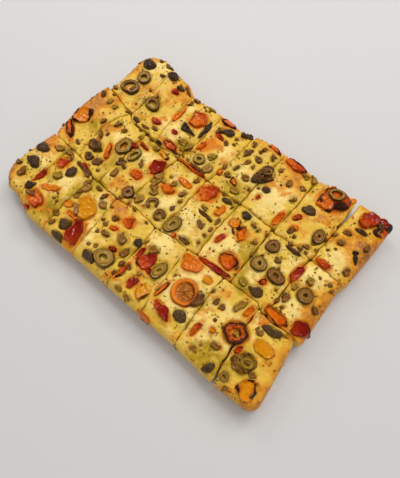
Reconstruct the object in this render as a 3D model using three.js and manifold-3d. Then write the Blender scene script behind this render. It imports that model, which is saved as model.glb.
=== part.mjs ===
// A sheet of focaccia, cut into three rows of eight slices that still lie together, with olives,
// tomatoes and peppers pressed into its top. Millimetres, +Z up, +X along the sheet, +Y across it.
// Each slice is a solid, and so is each topping as large as a berry. Smaller pieces of topping are
// joined to the slice that they are baked into.
import * as THREE from "three";
import { mergeVertices } from "three/addons/utils/BufferGeometryUtils.js";
import Module from "manifold-3d";

const wasm = await Module();
wasm.setup();

// ---------------------------------------------------------------- the bread's driving dimensions

const THICKNESS = 22; // from the underside to the usual level of the top
const KNIFE_GAP = 0.8; // clear width between two slices
const SHOULDER = 2.4; // rounding of a slice's top along a cut
const CRUST_ROUND = 9; // rounding of the baked outer edge
const CELL = 14; // widest spacing of the points on a slice's top

// The long lines of the plan as [x, y] points from left to right: the upper outer edge, the two
// long cuts and the lower outer edge.
const LONG_LINES = [
  [[-172, 116], [-150, 119], [-135, 122], [-117, 116], [-92, 112], [-77, 103], [-37, 104], [4, 98],
    [8, 106], [43, 106], [84, 103], [105, 107], [172, 106]],
  [[-172, 52], [-150, 50], [-113, 41], [-107, 35], [-75, 32], [-38, 30.5], [80, 31], [84, 28],
    [110, 29.5], [125, 27], [172, 27]],
  [[-172, -26], [-112, -31], [-90, -38], [-50, -40], [-25, -36], [0, -38], [20, -35], [113, -33],
    [121, -38], [172, -37]],
  [[-172, -99], [-137, -100], [-108, -109], [-45, -108], [80, -107], [125, -109], [172, -105]],
];

// The short cuts of each row, its two outer ends among them: x at the row's upper side, its middle
// and its lower side.
const SHORT_CUTS = {
  a: [[-163, -160, -157], [-116, -115, -113], [-77, -75, -70], [-37, -35, -38], [5, 6, 1],
    [43, 41.5, 42], [83, 84, 82], [127, 126, 124.5], [165, 164.5, 163]],
  b: [[-163, -167, -161], [-114, -123, -117], [-83, -81, -82], [-36, -42, -40], [1, 2.5, 1],
    [42, 42, 44], [81, 82, 83], [124, 123, 125], [160, 161.5, 163]],
  c: [[-162, -166, -169], [-130, -131, -132], [-88, -88, -86], [-53, -48, -45], [-3, 0, -1],
    [34, 37.5, 42], [76, 78, 82], [116, 119.5, 125], [157, 162.5, 166.5]],
};

// Cuts that have opened: the extra width right of a slice, at its upper side, middle and lower side.
const OPENED = { a7: [4, 0.6, 0], c7: [0, 1, 1.8] };

const MIDDLE = [-0.74, 6.5]; // x and y midway between the sheet's outermost points

// Radius in plan of a slice's corners: the usual one, and those of the sheet's own corners.
const CORNER = 3;
const WIDE_CORNERS = {
  a1: { left: "upper", radius: 19 },
  b1: { left: "lower", radius: 7 },
  c1: { left: "lower", radius: 26 },
  a8: { right: "upper", radius: 9 },
  c8: { right: "lower", radius: 10 },
};

// Where the dough rose or was pressed down: [x, y, radius, rise].
const SWELLS = [
  [-128, 102, 16, 3], [-100, 86, 15, 2], [-62, 53, 11, 2.4], [-66, 86, 10, 1.6], [-8, 64, 13, 2],
  [24, 62, 14, 1.4], [61, 60, 16, 3], [104, 60, 12, 1.6], [143, 44, 11, 3.4], [-145, 22, 16, 2.4],
  [-117, 12, 9, 2.6], [-94, 14, 9, 1.6], [-62, 12, 10, 2.4], [-66, -24, 10, 2], [-18, 12, 11, 1.6],
  [-12, -14, 10, 2.2], [17, -14, 13, 2.4], [60, -8, 12, 3], [96, 18, 12, 1.6], [99, -20, 10, 2],
  [136, 14, 12, 3], [145, -20, 11, 2.4], [-146, -57, 12, 1.4], [-106, -60, 11, 2.2],
  [-62, -52, 10, 1.6], [-44, -84, 11, 2], [15, -46, 11, 3], [60, -52, 13, 2], [58, -82, 12, 1.6],
  [98, -78, 13, 2.6], [130, -58, 10, 1.6], [-152, -90, 12, 1.2],
  [-98, 62, 9, -2], [-40, 44, 9, -2.6], [28, 40, 9, -2], [88, 58, 8, -1.8], [-136, -2, 10, -2],
  [-92, -14, 9, -2.2], [-66, 26, 9, -2], [72, 4, 8, -2], [92, -28, 8, -1.8], [-122, -62, 8, -2],
  [-92, -94, 10, -2.4], [-12, -78, 9, -2], [28, -80, 9, -2], [108, -94, 10, -2.2], [140, -76, 9, -2],
];

// Low waves all over the top: [length along x, length along y, phase, height].
const WAVES = [[118, 96, 0.6, 0.8], [-74, 61, 2.1, 0.6], [43, -52, 4.4, 0.4]];

// ------------------------------------------------------------------------ the toppings' dimensions

// Each kind: rise above the bread, sides in plan, unevenness of the outline, and colour.
const KINDS = {
  ring: { rise: 4.2, sides: 9, wobble: 0.05, hole: 0.5, colour: 0x6d6a2e, rough: 0.4 },
  tomato_ring: { rise: 4.4, sides: 9, wobble: 0.09, hole: 0.42, colour: 0x9a2c14, rough: 0.4 },
  olive: { rise: 4.6, sides: 8, wobble: 0.12, colour: 0x4a3f22, rough: 0.45 },
  black_olive: { rise: 5.6, sides: 8, wobble: 0.1, colour: 0x25232b, rough: 0.35 },
  heap: { rise: 5.2, sides: 9, wobble: 0.2, colour: 0x4b4426, rough: 0.5 },
  tomato: { rise: 3.4, sides: 9, wobble: 0.14, colour: 0xbc3a17, rough: 0.3 },
  tomato_slice: { rise: 3, sides: 11, wobble: 0.03, colour: 0xd8701a, rough: 0.3 },
  pepper: { rise: 3, sides: 9, wobble: 0.14, colour: 0xdc9a1e, rough: 0.3 },
  burnt: { rise: 4, sides: 8, wobble: 0.16, colour: 0x2a1a14, rough: 0.6 },
};
// A small piece of any kind, and a small ring.
const CHOPPED = { rise: 2.4, sides: 5, wobble: 0.14 };
const CHOPPED_RING = { rise: 3, sides: 7 };
const SINK = 1.1; // how deep a topping is pressed into the bread
const CLEARANCE = 0.3; // left between a topping and what it lies on

// The toppings as large as a berry: [kind, x, y, length, width, turn in degrees], with the height
// above the bread last where one lies on another.
const LARGE = {
  a1: [["black_olive", -144, 102, 14, 12, 0], ["ring", -135.5, 84.5, 18, 15, -20],
    ["ring", -138, 65.5, 21, 17, 0]],
  a2: [["black_olive", -110, 105, 12, 11, 0], ["ring", -104, 65, 17, 14, -5]],
  a3: [["tomato", -52, 79, 20, 18, 60], ["olive", -54, 63, 20, 9, -12],
    ["tomato", -54, 37, 20, 8, -4]],
  a4: [["burnt", -2.5, 98, 15, 9, 65]],
  a5: [["heap", 41, 69, 24, 15, 80]],
  a6: [["tomato", 58, 99, 21, 11, -3]],
  a7: [["tomato", 107, 89, 28, 25, 10], ["ring", 106.5, 94, 15, 12, 5, 2.4]],
  a8: [["tomato", 143, 93, 20, 13, 80]],
  b1: [["pepper", -152, 6, 23, 18, 25], ["tomato", -150, -13.5, 22, 9, -42]],
  b2: [["olive", -112, -12, 17, 14, -10], ["ring", -88, 6, 20, 15, 75]],
  b3: [["ring", -72, 5, 18, 10, 85], ["tomato", -46, 10, 17, 13, 80]],
  b4: [["tomato", -21, -1, 16, 9, 10]],
  b5: [["tomato", 12, 20, 21, 17, 40]],
  b6: [["tomato", 70.5, -20, 18, 15, -10]],
  b7: [["ring", 92.5, -5, 15, 14, 0], ["ring", 110.5, -5, 19, 12, -6]],
  b8: [["ring", 140, -3, 14, 14, 0], ["tomato", 154.5, -28, 16, 13, 35]],
  c2: [["tomato", -113, -91, 22, 13, -20]],
  c3: [["pepper", -67, -66, 24, 19, -35], ["tomato", -57, -91, 27, 19, 108]],
  c4: [["ring", -17.5, -90.5, 21, 18, 0]],
  c6: [["pepper", 47, -43, 20, 13, 15], ["tomato_slice", 60, -67, 25, 24, 0]],
  c7: [["tomato_ring", 115, -65, 21, 19, 20]],
  c8: [["heap", 134, -80, 20, 15, 35], ["pepper", 150, -94, 18, 15, 60]],
};

// Smaller pieces that are baked into a slice, in the same form.
const SMALL = {
  a1: [["olive", -124, 113, 8, 6, 0], ["olive", -151, 55, 9, 4, -15]],
  a2: [["olive", -93, 99, 8, 7, 0], ["tomato", -94, 90.5, 8, 6, 0], ["tomato", -86, 51, 12, 6, -5],
    ["burnt", -103, 39, 10, 4.5, -8], ["burnt", -85, 101, 15, 4, -32]],
  a3: [["olive", -70, 98, 8, 6, 0], ["olive", -50, 100, 9, 4, 5], ["burnt", -39, 75, 22, 4, 90],
    ["olive", -46, 49, 10, 7, 30], ["pepper", -71.5, 71, 20, 4, 90], ["olive", -72, 90, 9, 4, 80]],
  a4: [["tomato", -25, 97, 18, 8, -4], ["black_olive", -17, 87, 10, 9, 20], ["olive", -27, 83, 9, 8, 0],
    ["tomato", -21, 77, 12, 4, -10], ["tomato", -28, 57, 13, 5, 80], ["ring", -19.5, 43, 12, 11, 0],
    ["olive", -10.5, 53, 10, 7, 70], ["olive", -6.5, 40, 12, 8, 60], ["burnt", -16, 34.5, 17, 3.6, 2]],
  a5: [["olive", 12, 92, 8, 6, -50], ["olive", 12, 79, 10, 8, 70], ["olive", 26, 80, 8, 6, -20],
    ["olive", 29, 56, 8, 6, 20], ["olive", 13, 48, 8, 6, 0], ["olive", 36, 91, 9, 6, -60],
    ["tomato", 28, 101.5, 12, 4, -10], ["olive", 29, 39, 10, 6, 0]],
  a6: [["olive", 65, 78, 10, 6, -65], ["olive", 78, 66, 10, 6, 80], ["tomato", 79, 41, 16, 5.5, 86]],
  a7: [["pepper", 122, 97, 10, 4, 82], ["black_olive", 96, 66, 12, 10, 10],
    ["olive", 117, 50, 15, 10, 95], ["tomato", 92, 54, 9, 5, 55], ["olive", 95, 39, 8, 6, 60]],
  a8: [["tomato", 156, 100, 11, 7, 20], ["burnt", 157.5, 86, 9, 7, 40],
    ["black_olive", 144.5, 78.5, 11, 4, 6], ["olive", 135, 70, 9, 5, 12], ["olive", 136, 59, 8, 7, 40],
    ["burnt", 154, 53, 11, 3.5, -50], ["olive", 157, 68, 10, 4, 85], ["olive", 155, 38, 8, 6, 80],
    ["tomato", 136, 32, 16, 5.5, 0]],
  b1: [["olive", -141, 37, 10, 6, 85], ["olive", -132.5, 36, 8, 6, 25], ["olive", -128, 15, 9, 5, 70]],
  b2: [["olive", -108.5, -24.5, 11, 8, 0], ["olive", -97, -24, 10, 9, 80],
    ["olive", -118, 1.5, 9, 4, -45], ["olive", -113, 21.5, 10, 7, 60], ["tomato", -98, -8, 17, 5, -62]],
  b3: [["olive", -75.5, -9, 10, 6, 35], ["tomato", -73, 20, 11, 4, -8], ["olive", -63, 26, 12, 6, 0],
    ["pepper", -50, 24.5, 14, 5, -20], ["olive", -60, 3, 9, 4, -55], ["tomato", -56, -9, 12, 9, 0],
    ["olive", -74, -22, 10, 8, 80], ["ring", -48.5, -29, 12, 12, 0]],
  b4: [["olive", -35.5, -3, 13, 6, 80], ["olive", -28.5, -12.5, 10, 7, 50],
    ["pepper", -13, 14, 17, 6, -6], ["olive", -5.5, 24, 8, 6, 80], ["ring", -21.5, -22, 12, 12, 0],
    ["ring", -8, -27, 12, 11, 0], ["olive", -34, -27, 11, 7, 80]],
  b5: [["olive", 20, 5.5, 8, 6, 0], ["black_olive", 31, 25.5, 11, 5.5, 0],
    ["pepper", 33, 13, 12, 7, 80], ["olive", 27, -1, 15, 4, 0], ["olive", 28, -9.5, 10, 6, -20],
    ["ring", 10.5, -25, 16, 13, 80], ["olive", 27, -30, 12, 6, 0]],
  b6: [["pepper", 51.5, 12, 11, 9, 30], ["tomato", 63, 7, 13, 11, 80], ["black_olive", 55, 25, 9, 8, 0],
    ["tomato", 50.5, -8, 11, 5, 72], ["tomato", 58, -31, 19, 3.6, 0]],
  b7: [["ring", 92, 16, 13, 12, 0], ["black_olive", 106, -26.5, 13, 9, 5], ["olive", 92, -27, 9, 6, 0],
    ["tomato", 118.5, 10.5, 14, 6, 88], ["burnt", 108, 24.5, 16, 4, 2]],
  b8: [["olive", 129, -2, 10, 6, 85], ["olive", 136.5, 10, 8, 7, 0], ["olive", 128.5, -15, 10, 6, 88],
    ["tomato", 135.5, -31, 18, 8, 4]],
  c1: [["black_olive", -152, -48, 14, 11, 10], ["black_olive", -147, -65, 16, 11, 0],
    ["olive", -160, -74, 10, 7, 5], ["olive", -148, -80, 11, 8, 85], ["olive", -139, -37, 11, 7, 20]],
  c2: [["tomato", -123.5, -47, 15, 11, 60], ["tomato", -127, -70, 15, 5, 85],
    ["olive", -116, -60, 12, 8, 20], ["black_olive", -108, -49, 12, 10, 80],
    ["pepper", -111, -74, 19, 6, 30], ["black_olive", -126, -83, 9, 7, 60],
    ["tomato", -114, -102.5, 9, 4, 10], ["burnt", -108, -37, 10, 4, -8],
    ["olive", -97, -42, 10, 5, 10]],
  c3: [["olive", -83, -51, 13, 7, 85], ["olive", -84, -63, 8, 6, 70], ["pepper", -83, -74, 8, 7, 0],
    ["black_olive", -74.5, -90, 11, 9, 0], ["black_olive", -73.5, -102.5, 12, 6, -5]],
  c4: [["tomato", -24, -51, 12, 10, 30], ["olive", -34, -73, 10, 5, 10],
    ["olive", -17.5, -66, 14, 11, 30], ["olive", -6.5, -74, 10, 7, 70],
    ["black_olive", -33, -99, 12, 9, 10], ["black_olive", -7, -57, 8, 8, 0]],
  c5: [["tomato", 5, -66, 14, 4.5, 88], ["olive", 12.5, -55.5, 11, 8, 0],
    ["tomato", 14.5, -69, 13, 11, 0], ["ring", 29, -67, 19, 10, 82], ["tomato", 18, -90, 13, 9, 80],
    ["pepper", 31, -90, 13, 10, 80], ["olive", 24, -103, 9, 4, 0]],
  c6: [["tomato", 55, -91, 21, 8, -14], ["black_olive", 70, -88, 12, 10, 0],
    ["tomato", 42.3, -77, 18, 4, 84], ["pepper", 68, -46, 9, 7, 0]],
  c7: [["olive", 103.5, -45, 16, 7, 80], ["tomato", 112.5, -43.5, 12, 5, 80],
    ["tomato", 87.5, -83, 15, 5, 85], ["olive", 109, -84, 10, 6, 15], ["olive", 96, -97, 10, 5, 0],
    ["black_olive", 115.5, -101, 10, 8, 70]],
  c8: [["black_olive", 137, -44.5, 17, 7, 10], ["pepper", 141, -60.5, 16, 11, 10],
    ["ring", 131.5, -98, 9, 7, 0]],
};

// ------------------------------------------------------------------------------ plan of the slices

const ROWS = Object.keys(SHORT_CUTS);
const ENDS = SHORT_CUTS.a.length - 1; // slices in a row

const mix = (from, to, share) => from + (to - from) * share;

// y of a long line at x.
function lineY(line, x) {
  const end = line.findIndex(([px], i) => i > 0 && x <= px);
  const [[x0, y0], [x1, y1]] = [line[end - 1], line[end]];
  return mix(y0, y1, (x - x0) / (x1 - x0));
}

// Value at a fraction v of a curve given at its upper end, middle and lower end.
function alongCut([upper, middle, lower], v) {
  const bend = 2 * (upper + lower - 2 * middle);
  return lower + (upper - lower - bend) * v + bend * v * v;
}

// One slice: its place in the sheet, and its four edges as functions.
function makeSlice(rowIndex, column) {
  const row = ROWS[rowIndex];
  const name = row + (column + 1);
  const cuts = SHORT_CUTS[row];
  const openLeft = OPENED[row + column];
  const openRight = OPENED[name];
  const wide = WIDE_CORNERS[name] ?? {};
  const half = KNIFE_GAP / 2;
  return {
    name,
    left: (v) => alongCut(cuts[column], v) + half + (openLeft ? alongCut(openLeft, v) / 2 : 0),
    right: (v) => alongCut(cuts[column + 1], v) - half - (openRight ? alongCut(openRight, v) / 2 : 0),
    upper: (x) => lineY(LONG_LINES[rowIndex], x) - half,
    lower: (x) => lineY(LONG_LINES[rowIndex + 1], x) + half,
    // rounding of the top's edges: along a cut, or along the outer crust
    round: {
      left: column === 0 ? CRUST_ROUND : SHOULDER,
      right: column === ENDS - 1 ? CRUST_ROUND : SHOULDER,
      upper: rowIndex === 0 ? CRUST_ROUND : SHOULDER,
      lower: rowIndex === ROWS.length - 1 ? CRUST_ROUND : SHOULDER,
    },
    corner: (side, end) => (wide[side] === end ? wide.radius : CORNER),
    // where its two long sides bend, as distances from its left side
    bends: (width) =>
      [1, 0].flatMap((v) => {
        const [from, to] = [alongCut(cuts[column], v), alongCut(cuts[column + 1], v)];
        const line = LONG_LINES[rowIndex + 1 - v];
        return line.filter(([x]) => x > from && x < to).map(([x]) => ((x - from) / (to - from)) * width);
      }),
  };
}

const slices = ROWS.flatMap((row, r) => Array.from({ length: ENDS }, (_, c) => makeSlice(r, c)));

// Plan point of a slice at fractions u from left to right and v from its lower to its upper side.
function planPoint(slice, u, v) {
  const x = mix(slice.left(v), slice.right(v), u);
  return [x, mix(slice.lower(x), slice.upper(x), v)];
}

// Distances of a point from the nearer short side and the nearer long side, with their names.
function edgeDistances(slice, u, v) {
  const x = mix(slice.left(v), slice.right(v), u);
  const width = slice.right(v) - slice.left(v);
  const depth = slice.upper(x) - slice.lower(x);
  const side = u < 0.5 ? "left" : "right";
  const end = v < 0.5 ? "lower" : "upper";
  return { side, end, width, depth, p: Math.min(u, 1 - u) * width, q: Math.min(v, 1 - v) * depth };
}

// The same fractions after the slice's corners are rounded in plan: the square at a corner is
// bent into a quarter of a disc.
function roundCorner(slice, u, v) {
  const { side, end, width, depth, p, q } = edgeDistances(slice, u, v);
  const radius = slice.corner(side, end);
  if (p >= radius || q >= radius) return [u, v];
  const a = (radius - p) / radius;
  const b = (radius - q) / radius;
  const inX = (radius * (1 - a * Math.sqrt(1 - (b * b) / 2))) / width;
  const inY = (radius * (1 - b * Math.sqrt(1 - (a * a) / 2))) / depth;
  return [side === "left" ? inX : 1 - inX, end === "lower" ? inY : 1 - inY];
}

// ------------------------------------------------------------------------------- the bread's top

// Level of the crumb's top, away from every edge.
function crumbLevel(x, y) {
  let z = THICKNESS;
  for (const [alongX, alongY, phase, height] of WAVES)
    z += height * Math.sin((2 * Math.PI * x) / alongX + phase) * Math.cos((2 * Math.PI * y) / alongY);
  for (const [sx, sy, radius, rise] of SWELLS)
    z += rise * Math.exp(-((x - sx) ** 2 + (y - sy) ** 2) / (radius * radius));
  return z;
}

// How far a quarter-round edge of a radius has dropped at a distance from it.
function roundDrop(distance, radius) {
  const inside = Math.min(Math.max(distance, 0), radius);
  return radius - Math.sqrt(radius ** 2 - (radius - inside) ** 2);
}

// Drop of a slice's top towards its edges.
function edgeDrop(slice, u, v) {
  const { side, end, p, q } = edgeDistances(slice, u, v);
  const straight = Math.max(roundDrop(p, slice.round[side]), roundDrop(q, slice.round[end]));
  const radius = slice.corner(side, end);
  if (p >= radius || q >= radius) return straight;
  const a = radius - p;
  const b = radius - q;
  const edge = (a * slice.round[side] + b * slice.round[end]) / (a + b);
  return Math.max(straight, roundDrop(radius - Math.hypot(a, b), edge));
}

// Level of the whole sheet's top at a point, with its outer edge rounded but its cuts left out.
function sheetLevel(x, y) {
  const upper = lineY(LONG_LINES[0], x) - y;
  const lower = y - lineY(LONG_LINES[ROWS.length], x);
  const row = ROWS.findIndex((_, r) => y > lineY(LONG_LINES[r + 1], x));
  const r = row < 0 ? ROWS.length - 1 : row;
  const top = lineY(LONG_LINES[r], x);
  const bottom = lineY(LONG_LINES[r + 1], x);
  const v = Math.min(Math.max((y - bottom) / (top - bottom), 0), 1);
  const cuts = SHORT_CUTS[ROWS[r]];
  const ends = Math.min(x - alongCut(cuts[0], v), alongCut(cuts[ENDS], v) - x);
  return crumbLevel(x, y) - roundDrop(Math.min(upper, lower, ends), CRUST_ROUND);
}

// --------------------------------------------------------------------------------------- solids

// A closed solid for joining and cutting, from a list of points and of triangles.
function solid(points, faces) {
  return new wasm.Manifold(
    new wasm.Mesh({
      numProp: 3,
      vertProperties: new Float32Array(points.flat()),
      triVerts: new Uint32Array(faces.flat()),
    }),
  );
}

// Distances along one side of a slice, closer together at its rounded edges. The bends of the
// lines beside it are among them, so that neighbours share their corners and never cross.
function stations(length, lowRound, highRound, bends) {
  const steps = (radius) => (radius > SHOULDER ? [0, 0.3 * radius, radius] : [0, radius]);
  const low = steps(lowRound);
  const high = steps(highRound).map((d) => length - d).reverse();
  const [from, to] = [low.at(-1), high[0]];
  const fixed = [from, ...bends.filter((d) => d > from + 1 && d < to - 1), to].sort((a, b) => a - b);
  const inner = fixed.slice(1).flatMap((end, i) => {
    const cells = Math.ceil((end - fixed[i]) / CELL);
    return Array.from({ length: cells }, (_, k) => mix(fixed[i], end, (k + 1) / cells));
  });
  return [...low, ...inner.slice(0, -1), ...high].map((d) => d / length);
}

// A slice of the sheet: a grid of points over its top, upright sides and a flat underside.
function sliceSolid(slice) {
  const { width, depth } = edgeDistances(slice, 0.5, 0.5);
  const us = stations(width, slice.round.left, slice.round.right, slice.bends(width));
  const vs = stations(depth, slice.round.lower, slice.round.upper, []);
  const points = [];
  for (const v of vs)
    for (const u of us) {
      const [ru, rv] = roundCorner(slice, u, v);
      const [x, y] = planPoint(slice, ru, rv);
      points.push([x, y, crumbLevel(x, y) - edgeDrop(slice, ru, rv)]);
    }
  const columns = us.length;
  const rows = vs.length;
  const faces = [];
  for (let j = 0; j < rows - 1; j++)
    for (let i = 0; i < columns - 1; i++) {
      const k = j * columns + i;
      faces.push([k, k + 1, k + columns + 1], [k, k + columns + 1, k + columns]);
    }
  // the rim of the grid, anticlockwise seen from above, then the same rim on the underside
  const rim = [];
  for (let i = 0; i < columns - 1; i++) rim.push(i);
  for (let j = 0; j < rows - 1; j++) rim.push(j * columns + columns - 1);
  for (let i = columns - 1; i > 0; i--) rim.push((rows - 1) * columns + i);
  for (let j = rows - 1; j > 0; j--) rim.push(j * columns);
  const base = points.length;
  for (const k of rim) points.push([points[k][0], points[k][1], 0]);
  rim.forEach((k, i) => {
    const next = (i + 1) % rim.length;
    faces.push([k, base + i, base + next], [k, base + next, rim[next]]);
  });
  const contour = rim.map((k) => new THREE.Vector2(points[k][0], points[k][1]));
  for (const [a, b, c] of THREE.ShapeUtils.triangulateShape(contour, []))
    faces.push([base + a, base + c, base + b]);
  return solid(points, faces);
}

// Profile of a topping from its foot to its top, as [share of the radius, share of the rise], where
// the foot is sunk into the bread. A ring's profile closes on itself.
const FOOT = -1;
const DOME = [[0, FOOT], [0.9, FOOT], [1, 0.35], [0.72, 0.9], [0, 1]];
const FLAT = [[0, FOOT], [0.96, FOOT], [0.9, 0.85], [0, 1]];
const hoop = (hole) => [[hole, FOOT], [1, FOOT], [0.92, 0.85], [hole + 0.14, 1], [hole, FOOT]];

// A topping that lies on the sheet: a turned profile, made uneven and laid over the bread's top.
function toppingSolid([kind, x, y, length, width, turn, lift = 0], form) {
  const { rise, sides, wobble, hole } = { ...KINDS[kind], ...form };
  const profile = hole ? hoop(hole) : form.sides ? FLAT : DOME;
  const lathe = new THREE.LatheGeometry(
    profile.map(([r, z]) => new THREE.Vector2(r, z < 0 ? -SINK : z * rise)),
    sides,
  );
  lathe.rotateX(Math.PI / 2);
  lathe.deleteAttribute("normal");
  lathe.deleteAttribute("uv");
  const merged = mergeVertices(lathe, 1e-4);
  const angle = THREE.MathUtils.degToRad(turn);
  const place = merged.attributes.position;
  const points = [];
  for (let i = 0; i < place.count; i++) {
    const [px, py, pz] = [place.getX(i), place.getY(i), place.getZ(i)];
    const round = Math.atan2(py, px);
    const uneven = 1 + wobble * (Math.sin(2 * round + x) * 0.45 + Math.sin(3 * round + y) * 0.55);
    const along = (px * uneven * length) / 2;
    const across = (py * uneven * width) / 2;
    const wx = x + along * Math.cos(angle) - across * Math.sin(angle);
    const wy = y + along * Math.sin(angle) + across * Math.cos(angle);
    points.push([wx, wy, sheetLevel(wx, wy) + lift + pz]);
  }
  return solid(points, [Array.from(merged.index.array)]);
}

// Whether the boxes of two solids meet in plan.
function near(one, other) {
  const [a, b] = [one.boundingBox(), other.boundingBox()];
  return [0, 1].every((axis) => a.min[axis] < b.max[axis] && b.min[axis] < a.max[axis]);
}

function meshOf(name, made, colour, roughness) {
  const { numProp, vertProperties, triVerts } = made.getMesh();
  const geometry = new THREE.BufferGeometry();
  geometry.setAttribute("position", new THREE.BufferAttribute(vertProperties, numProp));
  geometry.setIndex(new THREE.BufferAttribute(triVerts, 1));
  const mesh = new THREE.Mesh(geometry, new THREE.MeshStandardMaterial({ color: colour, roughness }));
  mesh.name = name;
  return mesh;
}

// -------------------------------------------------------------------------------- the focaccia

const BREAD_COLOUR = 0xe6c979;
const BREAD_ROUGHNESS = 0.65;

const sheet = new THREE.Group();
const laid = []; // the solids that a topping may lie on

for (const slice of slices) {
  let made = sliceSolid(slice);
  for (const piece of SMALL[slice.name] ?? []) {
    const form = KINDS[piece[0]].hole ? CHOPPED_RING : CHOPPED;
    made = made.add(toppingSolid(piece, form));
  }
  laid.push(made);
  sheet.add(meshOf("slice_" + slice.name, made, BREAD_COLOUR, BREAD_ROUGHNESS));
}

for (const [sliceName, toppings] of Object.entries(LARGE)) {
  const used = {};
  for (const topping of toppings) {
    const kind = topping[0];
    used[kind] = (used[kind] ?? 0) + 1;
    let made = toppingSolid(topping, {});
    for (const below of laid.filter((other) => near(made, other)))
      made = made.subtract(below.translate([0, 0, CLEARANCE]));
    laid.push(made);
    const suffix = used[kind] > 1 ? "_" + used[kind] : "";
    sheet.add(meshOf(kind + "_" + sliceName + suffix, made, KINDS[kind].colour, KINDS[kind].rough));
  }
}

// The origin is on the underside, below the middle of the sheet.
sheet.position.set(-MIDDLE[0], -MIDDLE[1], 0);

const group = new THREE.Group();
group.add(sheet);

export default group;
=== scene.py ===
import math
import random

import bpy
import numpy as np
from mathutils import Matrix, Vector, noise


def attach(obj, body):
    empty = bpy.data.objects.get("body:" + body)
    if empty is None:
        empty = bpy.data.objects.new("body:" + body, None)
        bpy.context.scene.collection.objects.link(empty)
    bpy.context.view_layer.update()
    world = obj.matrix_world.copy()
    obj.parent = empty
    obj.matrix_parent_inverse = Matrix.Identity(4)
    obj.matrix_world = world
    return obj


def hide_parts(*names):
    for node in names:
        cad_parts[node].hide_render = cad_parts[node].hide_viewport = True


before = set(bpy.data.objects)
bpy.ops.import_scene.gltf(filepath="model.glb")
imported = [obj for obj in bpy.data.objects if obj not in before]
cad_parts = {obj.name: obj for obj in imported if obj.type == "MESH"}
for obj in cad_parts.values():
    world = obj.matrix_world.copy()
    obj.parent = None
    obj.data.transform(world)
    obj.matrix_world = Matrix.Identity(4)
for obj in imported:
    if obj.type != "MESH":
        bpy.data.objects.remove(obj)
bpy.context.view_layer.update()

bpy.ops.object.select_all(action="DESELECT")

# ---------------------------------------------------------------------------------- the bread
# A sheet of oiled dough, proved, dimpled with the fingers and baked until it was cream on its
# swellings and gold towards its edges. A knife then cut it into three rows of eight slices, and
# they were left lying together. Lengths in the plan are in millimetres.

MM = 0.001
THICKNESS = 22  # from the underside to the usual level of the top
KNIFE_GAP = 0.8  # clear width between two slices
SHOULDER = 2.2  # rounding of a slice's top along a cut
CRUST_ROUND = 9  # rounding of the baked outer edge
MIDDLE = (-0.74, 6.5)  # the plan's point that lies over the frame's origin
ROWS = "abc"
IN_A_ROW = 8

# The long lines of the plan as (x, y) points: the upper outer edge, two cuts, the lower edge.
LONG_LINES = [
    [(-172, 116), (-150, 119), (-135, 122), (-117, 116), (-92, 112), (-77, 103), (-37, 104),
     (4, 98), (8, 106), (43, 106), (84, 103), (105, 107), (172, 106)],
    [(-172, 52), (-150, 50), (-113, 41), (-107, 35), (-75, 32), (-38, 30.5), (80, 31), (84, 28),
     (110, 29.5), (125, 27), (172, 27)],
    [(-172, -26), (-112, -31), (-90, -38), (-50, -40), (-25, -36), (0, -38), (20, -35),
     (113, -33), (121, -38), (172, -37)],
    [(-172, -99), (-137, -100), (-108, -109), (-45, -108), (80, -107), (125, -109), (172, -105)],
]

# The short cuts of each row, its two ends among them: x at the row's upper side, its middle and
# its lower side.
SHORT_CUTS = {
    "a": [(-163, -160, -157), (-116, -115, -113), (-77, -75, -70), (-37, -35, -38), (5, 6, 1),
          (43, 41.5, 42), (83, 84, 82), (127, 126, 124.5), (165, 164.5, 163)],
    "b": [(-163, -167, -161), (-114, -123, -117), (-83, -81, -82), (-36, -42, -40), (1, 2.5, 1),
          (42, 42, 44), (81, 82, 83), (124, 123, 125), (160, 161.5, 163)],
    "c": [(-162, -166, -169), (-130, -131, -132), (-88, -88, -86), (-53, -48, -45), (-3, 0, -1),
          (34, 37.5, 42), (76, 78, 82), (116, 119.5, 125), (157, 162.5, 166.5)],
}

# Cuts that have opened, by the slice on their left: extra width at the same three places.
OPENED = {"a7": (4, 0.6, 0), "c7": (0, 1, 1.8)}

# Rounding of the slices' corners in plan, and wider ones at the sheet's outer edge.
CORNER = 3
WIDE_CORNERS = {
    "a1": ("left", "upper", 19),
    "b1": ("left", "lower", 7),
    "c1": ("left", "lower", 26),
    "a8": ("right", "upper", 9),
    "c8": ("right", "lower", 10),
}

# Where the dough rose or was pressed down: (x, y, radius, rise).
SWELLS = [
    (-128, 102, 16, 3), (-100, 86, 15, 2), (-62, 53, 11, 2.4), (-66, 86, 10, 1.6),
    (-8, 64, 13, 2), (24, 62, 14, 1.4), (61, 60, 16, 3), (104, 60, 12, 1.6), (143, 44, 11, 3.4),
    (-145, 22, 16, 2.4), (-117, 12, 9, 2.6), (-94, 14, 9, 1.6), (-62, 12, 10, 2.4),
    (-66, -24, 10, 2), (-18, 12, 11, 1.6), (-12, -14, 10, 2.2), (17, -14, 13, 2.4),
    (60, -8, 12, 3), (96, 18, 12, 1.6), (99, -20, 10, 2), (136, 14, 12, 3), (145, -20, 11, 2.4),
    (-146, -57, 12, 1.4), (-106, -60, 11, 2.2), (-62, -52, 10, 1.6), (-44, -84, 11, 2),
    (15, -46, 11, 3), (60, -52, 13, 2), (58, -82, 12, 1.6), (98, -78, 13, 2.6),
    (130, -58, 10, 1.6), (-152, -90, 12, 1.2),
    (-98, 62, 9, -2), (-40, 44, 9, -2.6), (28, 40, 9, -2), (88, 58, 8, -1.8), (-136, -2, 10, -2),
    (-92, -14, 9, -2.2), (-66, 26, 9, -2), (72, 4, 8, -2), (92, -28, 8, -1.8), (-122, -62, 8, -2),
    (-92, -94, 10, -2.4), (-12, -78, 9, -2), (28, -80, 9, -2), (108, -94, 10, -2.2),
    (140, -76, 9, -2),
]

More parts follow.
